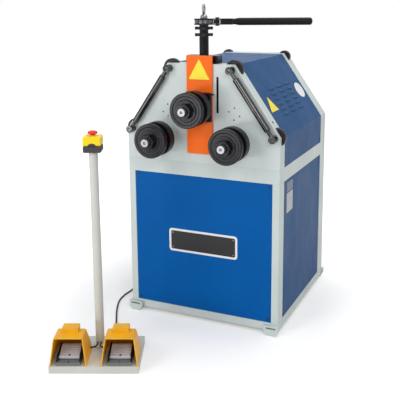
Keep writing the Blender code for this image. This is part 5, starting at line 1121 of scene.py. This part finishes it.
screw_x = HALF_WIDTH - POST_WIDTH - SCREW_INSET
screw_levels = (SILL_HEIGHT + SCREW_INSET, WINDOW_TOP - SCREW_DROP)
corners = [(x, z) for x in (-screw_x, screw_x) for z in screw_levels]
ends = (("front", PANEL_INSET, ALONG_FRONT), ("rear", FRAME_DEPTH - PANEL_INSET, ALONG_BACK))
for number, (x, z) in enumerate(corners, 1):
    for word, y, turn in ends:
        name = f"{word}_screw_{number}"
        put(name, panel_screw(*PANEL_SCREW), at(x, y, z) @ turn, "machine", "black_steel")
screw_rows = (SIDE_POST_WIDTH + SCREW_INSET, FRAME_DEPTH - REAR_POST_WIDTH - SCREW_INSET)
corners = [(y, z) for y in screw_rows for z in (*screw_levels, SEAM_HEIGHT + HEAD_SCREW_LIFT)]
for side, word in SIDES:
    turn = ALONG_RIGHT if side > 0 else ALONG_LEFT
    for number, (y, z) in enumerate(corners, 1):
        x = side * (HALF_WIDTH - (HEAD_SIDE_INSET if z > SEAM_HEIGHT else PANEL_INSET))
        name = f"side_screw_{word}_{number}"
        put(name, panel_screw(*PANEL_SCREW), at(x, y, z) @ turn, "machine", "black_steel")

# The front panel's bare plate: a pale rim round a plain dark field, on four small rivets
PLATE_WIDTH = 0.336
PLATE_HEIGHT = 0.108
PLATE_RIM = 0.010
RIVET_INSET = 0.0195
RIVET_PROFILE = [(0.0, 0.0012), (0.0012, 0.0011), (0.0024, 0.0), (0.0, -0.0004)]

plate_spot = at(0.005, PANEL_INSET, 0.374) @ ALONG_FRONT
rim = slab(round_outline(PLATE_WIDTH, PLATE_HEIGHT, 0.014), 0.0, 0.0014, 0.0004)
put("front_plate_rim", rim, plate_spot, "machine", "plate_rim")
outline = round_outline(PLATE_WIDTH - 2 * PLATE_RIM, PLATE_HEIGHT - 2 * PLATE_RIM, 0.008)
field = slab(outline, 0.0010, 0.0019, 0.0003)
put("front_plate_field", field, plate_spot, "machine", "plate_field")
rivets = []
for across in (-1, 1):
    for up in (-1, 1):
        spot = (across * (PLATE_WIDTH / 2 - RIVET_INSET), up * (PLATE_HEIGHT / 2 - RIVET_INSET), 0.0018)
        rivets.append((lathe(RIVET_PROFILE, 24, 0.0), Matrix.Translation(spot)))
put("front_plate_rivets", merged(*rivets), plate_spot, "machine", "bright_steel")

SIGN_RIM_SIDE = 0.018
SIGN_RIM_HEIGHT = 0.016
SIGN_FIELD_LIFT = 0.0055


def triangle(base, high, radius):
    """A triangle standing on the middle of its base, with rounded corners."""
    return filleted([(-base / 2, 0.0), (base / 2, 0.0), (0.0, high)], radius, 4, True)


def sign(base, high, radius, thick, edge):
    """A bare triangular plate with a raised field."""
    rim = slab(triangle(base, high, radius), 0.0, 0.0010, 0.0003)
    inner = triangle(base - SIGN_RIM_SIDE, high - SIGN_RIM_HEIGHT, radius - 0.001)
    field = slab(inner, 0.0008, thick, edge)
    return merged(rim, (field, Matrix.Translation((0.0, SIGN_FIELD_LIFT, 0.0))))


put(
    "slide_plate", sign(0.100, 0.088, 0.005, 0.0015, 0.0003),
    at(0.0, -COVER_STANDOFF - COVER_THICK, 1.119) @ ALONG_FRONT, "top_slide", "plate_yellow",
)


# The slanted sides: louvre lips on both, and plain plates on the right one

LIP_HALF_LENGTH = 0.0425
LIP_DROP = 0.0045
LIP_DEPTH = 0.0125
LIP_HEIGHT = 0.0052
LIP_SHEET = 0.0009
LIP_LIFT = 0.0002
LIP_FIRST = (0.087, 0.240)
LIP_STEP = (0.026, 0.112)


def on_side_slope(side, along, y, inset=0.002):
    """A place on a slanted side of the hood: +Z outwards, +Y up the slope."""
    x, z = on_slope(along, inset)
    out = Vector((side * OUTWARD.x, 0.0, OUTWARD.y))
    up = Vector((side * SLOPE.x, 0.0, SLOPE.y))
    return at(side * x, y, z) @ Matrix((up.cross(out), up, out)).transposed().to_4x4()


def louvre_lip():
    """A pressed lip over one slot: open along its lower edge, and running into the sheet above."""
    bm = bmesh.new()
    across, up = 18, 6
    layers = []
    for drop in (0.0, LIP_SHEET):
        rows = []
        for i in range(across + 1):
            share = (i / across * 2 - 1) * 0.985
            bow = math.sqrt(1 - share * share)
            row = []
            for j in range(up + 1):
                back = j / up * LIP_DEPTH * bow - LIP_DROP
                rise = LIP_HEIGHT * bow * math.cos(j / up * QUARTER) + LIP_LIFT - drop
                row.append(bm.verts.new((share * LIP_HALF_LENGTH, back, rise)))
            rows.append(row)
        layers.append(rows)
    top, low = layers
    for i in range(across):
        for j in range(up):
            bm.faces.new((top[i][j], top[i + 1][j], top[i + 1][j + 1], top[i][j + 1]))
            bm.faces.new((low[i][j], low[i][j + 1], low[i + 1][j + 1], low[i + 1][j]))
        for j in (0, up):
            bm.faces.new((top[i][j], low[i][j], low[i + 1][j], top[i + 1][j]))
    for j in range(up):
        for i in (0, across):
            bm.faces.new((top[i][j], top[i][j + 1], low[i][j + 1], low[i][j]))
    return bm


for side, word in SIDES:
    lips = []
    for column in range(3):
        for row in range(6):
            along = LIP_FIRST[0] + LIP_STEP[0] * row
            back = LIP_FIRST[1] + LIP_STEP[1] * column
            lips.append((louvre_lip(), on_side_slope(side, along, back)))
    put("louvre_lips_" + word, merged(*lips), Matrix(), "machine", "panel_paint", angle=50.0)
    spot = on_side_slope(side, 0.077, 0.030, 0.0)
    put("band_screw_" + word, panel_screw(0.0045, 0.0022), spot, "machine", "black_steel")

put(
    "slope_oval", slab(ellipse(0.098, 0.082), 0.0, 0.0010, 0.0003), on_side_slope(1, 0.163, 0.585),
    "machine", "plate_rim",
)
put(
    "slope_plate", sign(0.094, 0.073, 0.004, 0.0014, 0.0002), on_side_slope(1, 0.116, 0.137),
    "machine", "plate_yellow",
)
for name, high, level, finish in (
    ("side_label_low", 0.090, 0.572, "label_paper"), ("side_label_high", 0.044, 0.644, "label_grey")
):
    label = slab(round_outline(0.088, high, 0.003), 0.0, 0.0006, 0.0001)
    turn = Matrix.Rotation(QUARTER, 4, "Z") @ ALONG_FRONT
    put(name, label, at(HALF_WIDTH - PANEL_INSET, 0.156, level) @ turn, "machine", finish)


# Dark linings of the scale slot and the tapped holes in the face plate: painted shade inside the slot
# and the holes

SLOT_X = 0.0815
SLOT_Z = 1.054
SLOT_WIDTH = 0.0100
SLOT_HEIGHT = 0.1560
SHADE_LINING = 0.0006
HOLE_RIM = 0.0036
HOLE_CREST = 0.0021
HOLE_ROOT = 0.0026
HOLE_PITCH = 0.0015
HOLE_DEPTH = 0.0100
HOLES_ALONG = (0.173, 0.215)
HOLES_INSET = (0.102, 0.133)

outer, inner = (
    round_outline(SLOT_WIDTH - less, SLOT_HEIGHT - less, 0.0004, 1) for less in (GAP, 2 * SHADE_LINING)
)
# Black lining over the slot's walls: painted shade in the narrow slot.
put(
    "scale_slot_shade_lining", sleeve(outer, inner, 0.0005 - FACE_THICK, 0.0002),
    at(SLOT_X, 0.0, SLOT_Z) @ ALONG_FRONT, "machine", "black_plastic",
)


def hole_shade_lining():
    """A dark ring round a tapped hole's mouth, with its thread and its floor: painted shade in the hole
    and at its mouth.
    """
    profile = [(HOLE_RIM, 0.0002), (0.0025, 0.0002)]
    for number in range(6):
        depth = SHADE_LINING + HOLE_PITCH * number
        profile += [(HOLE_CREST, -depth), (HOLE_ROOT, -depth - HOLE_PITCH / 2)]
    profile += [
        (HOLE_CREST, -HOLE_DEPTH), (0.0, -HOLE_DEPTH), (0.0, -HOLE_DEPTH - SHADE_LINING),
        (0.0027, -HOLE_DEPTH - SHADE_LINING), (0.0027, -SHADE_LINING), (HOLE_RIM, -SHADE_LINING),
    ]
    return lathe(profile, 28, 0.0)


for side, word in SIDES:
    shade_linings = []
    for x, z in (on_slope(along, inset) for along in HOLES_ALONG for inset in HOLES_INSET):
        shade_linings.append((hole_shade_lining(), Matrix.Translation((side * x, 0.0, z)) @ ALONG_FRONT))
    # Dark hole linings: painted shade in the tapped holes.
    put("tapped_hole_shade_" + word, merged(*shade_linings), MACHINE, "machine", "black_steel", angle=40.0)


# Trim of the foot pedals: ribs on the tread, dark strips on the cheeks and one screw

PEDAL_OFFSET = 0.1025
PEDAL_TOP = 0.0423
PEDAL_HALF = 0.049
TREAD_PIVOT = (0.038, 0.0503)
TREAD_RISE = math.radians(17)
TREAD_TOP = 0.006
RIBS_ALONG = (0.016, 0.029, 0.042, 0.055)
CHEEK_THICK = 0.006
STRIP_OUTLINE = ((0.0148, PEDAL_TOP), (0.1284, PEDAL_TOP), (0.1284, 0.0708), (0.0376, 0.0609))

for side, word in SIDES:
    body = word + "_tread"
    middle = side * PEDAL_OFFSET
    pivot = on_stand(middle, *TREAD_PIVOT) @ Matrix.Rotation(TREAD_RISE, 4, "X")
    tread = pivot @ Matrix.Translation((0.0, 0.0, TREAD_TOP))
    ribs = []
    for along in RIBS_ALONG:
        bar = slab(round_outline(0.070, 0.0042, 0.0018, 3), -0.0003, 0.0016, 0.0006)
        ribs.append((bar, Matrix.Translation((0.0, along, 0.0))))
    put("tread_ribs_" + word, merged(*ribs), tread, body, "pedal_grey", look="tread_grey")
    spot = tread @ Matrix.Translation((0.0, 0.0065, 0.0))
    put("tread_screw_" + word, panel_screw(0.0042, 0.0018), spot, body, "black_steel")
    spot = on_stand(middle, 0.016, PEDAL_TOP)
    put("pedal_screw_" + word, panel_screw(0.0036, 0.0014), spot, "machine", "black_steel")
    strips = []
    for edge in (-1, 1):
        across = edge * (PEDAL_HALF - CHEEK_THICK / 2) - CHEEK_THICK / 2 - GAP
        strip = slab(STRIP_OUTLINE, 0.0, CHEEK_THICK + 2 * GAP, 0.0004)
        stand_up = Matrix(((0, 0, 1, across), (1, 0, 0, 0), (0, 1, 0, 0), (0, 0, 0, 1)))
        strips.append((strip, stand_up))
    spot = on_stand(middle, 0.0, 0.0)
    put("pedal_strips_" + word, merged(*strips), spot, "machine", "black_plastic")


# Floor, lamps and world

FLOOR_REACH = 12.0
FLOOR_COLOUR = 0.80
NEAR_GLOW = 0.26
FAR_GLOW = 0.80
NEAR_RADIUS = 0.55
FAR_RADIUS = 1.9
LIGHT_LEVEL = 0.48

# Each lamp's place and target, its width and height in metres, and its power in watts
LAMPS = {
    "key": ((-1.6, -3.6, 3.0), (0.0, 0.0, 0.7), 1.6, 1.6, 42.0),
    "front": ((2.4, -3.4, 3.0), (0.0, 0.0, 0.8), 1.8, 0.45, 46.0),
    "low": ((-1.75, -3.5, 0.45), (0.0, 0.0, 0.9), 2.0, 0.5, 30.0),
    "side": ((3.4, -1.2, 3.6), (0.0, 0.3, 1.0), 1.2, 1.2, 3.0),
    "top": ((0.7, 0.5, 4.2), (0.0, 0.3, 0.8), 2.6, 2.6, 62.0),
}


def background_rays(tree):
    """One for the rays that see the background itself: the camera's, and mirrored or clear ones."""
    rays = tree.nodes.new("ShaderNodeLightPath")
    total = rays.outputs["Is Camera Ray"]
    for name in ("Is Glossy Ray", "Is Transmission Ray"):
        step = tree.nodes.new("ShaderNodeMath")
        step.operation = "MAXIMUM"
        tree.links.new(total, step.inputs[0])
        tree.links.new(rays.outputs[name], step.inputs[1])
        total = step.outputs["Value"]
    return total


def floor():
    """A pale floor that fades into the white background away from the object."""
    mesh = bpy.data.meshes.new("floor")
    bm = bmesh.new()
    bmesh.ops.create_grid(bm, x_segments=1, y_segments=1, size=FLOOR_REACH)
    bm.to_mesh(mesh)
    bm.free()
    body = bpy.data.objects.new("floor", mesh)
    bpy.context.scene.collection.objects.link(body)
    made = Shader("floor", 1.0)
    made.tree.nodes.remove(made.main)
    lit = made.node("ShaderNodeBsdfDiffuse", {"Color": (FLOOR_COLOUR, FLOOR_COLOUR, FLOOR_COLOUR, 1.0)})
    away = made.spread(made.radius(), NEAR_GLOW, FAR_GLOW, NEAR_RADIUS, FAR_RADIUS)
    rays = background_rays(made.tree)
    scale = made.node("ShaderNodeMath", {0: rays, 1: away}, operation="MULTIPLY")
    glow = made.node("ShaderNodeEmission", {"Strength": scale.outputs["Value"]})
    both = made.node("ShaderNodeAddShader", {0: lit.outputs["BSDF"], 1: glow.outputs["Emission"]})
    output = made.tree.nodes["Material Output"]
    made.tree.links.new(both.outputs["Shader"], output.inputs["Surface"])
    mesh.materials.append(MATERIALS["floor"])


def world():
    """Even white light at LIGHT_LEVEL, and a background at full strength for the rays that see it."""
    made = bpy.data.worlds.new("studio")
    bpy.context.scene.world = made
    made.use_nodes = True
    tree = made.node_tree
    back = tree.nodes["Background"]
    back.inputs["Color"].default_value = (1.0, 1.0, 1.0, 1.0)
    choose = tree.nodes.new("ShaderNodeMapRange")
    choose.inputs["To Min"].default_value = LIGHT_LEVEL
    choose.inputs["To Max"].default_value = 1.0
    tree.links.new(background_rays(tree), choose.inputs["Value"])
    tree.links.new(choose.outputs["Result"], back.inputs["Strength"])


def lamp(name, place, target, width, high, power):
    data = bpy.data.lights.new(name, "AREA")
    data.shape = "RECTANGLE"
    data.size = width
    data.size_y = high
    data.energy = power
    body = bpy.data.objects.new(name, data)
    place = Vector(place)
    turn = (Vector(target) - place).to_track_quat("-Z", "Y").to_matrix().to_4x4()
    body.matrix_world = Matrix.Translation(place) @ turn
    bpy.context.scene.collection.objects.link(body)


floor()
world()
for name, values in LAMPS.items():
    lamp(name, *values)

bpy.context.scene.view_settings.view_transform = "Standard"
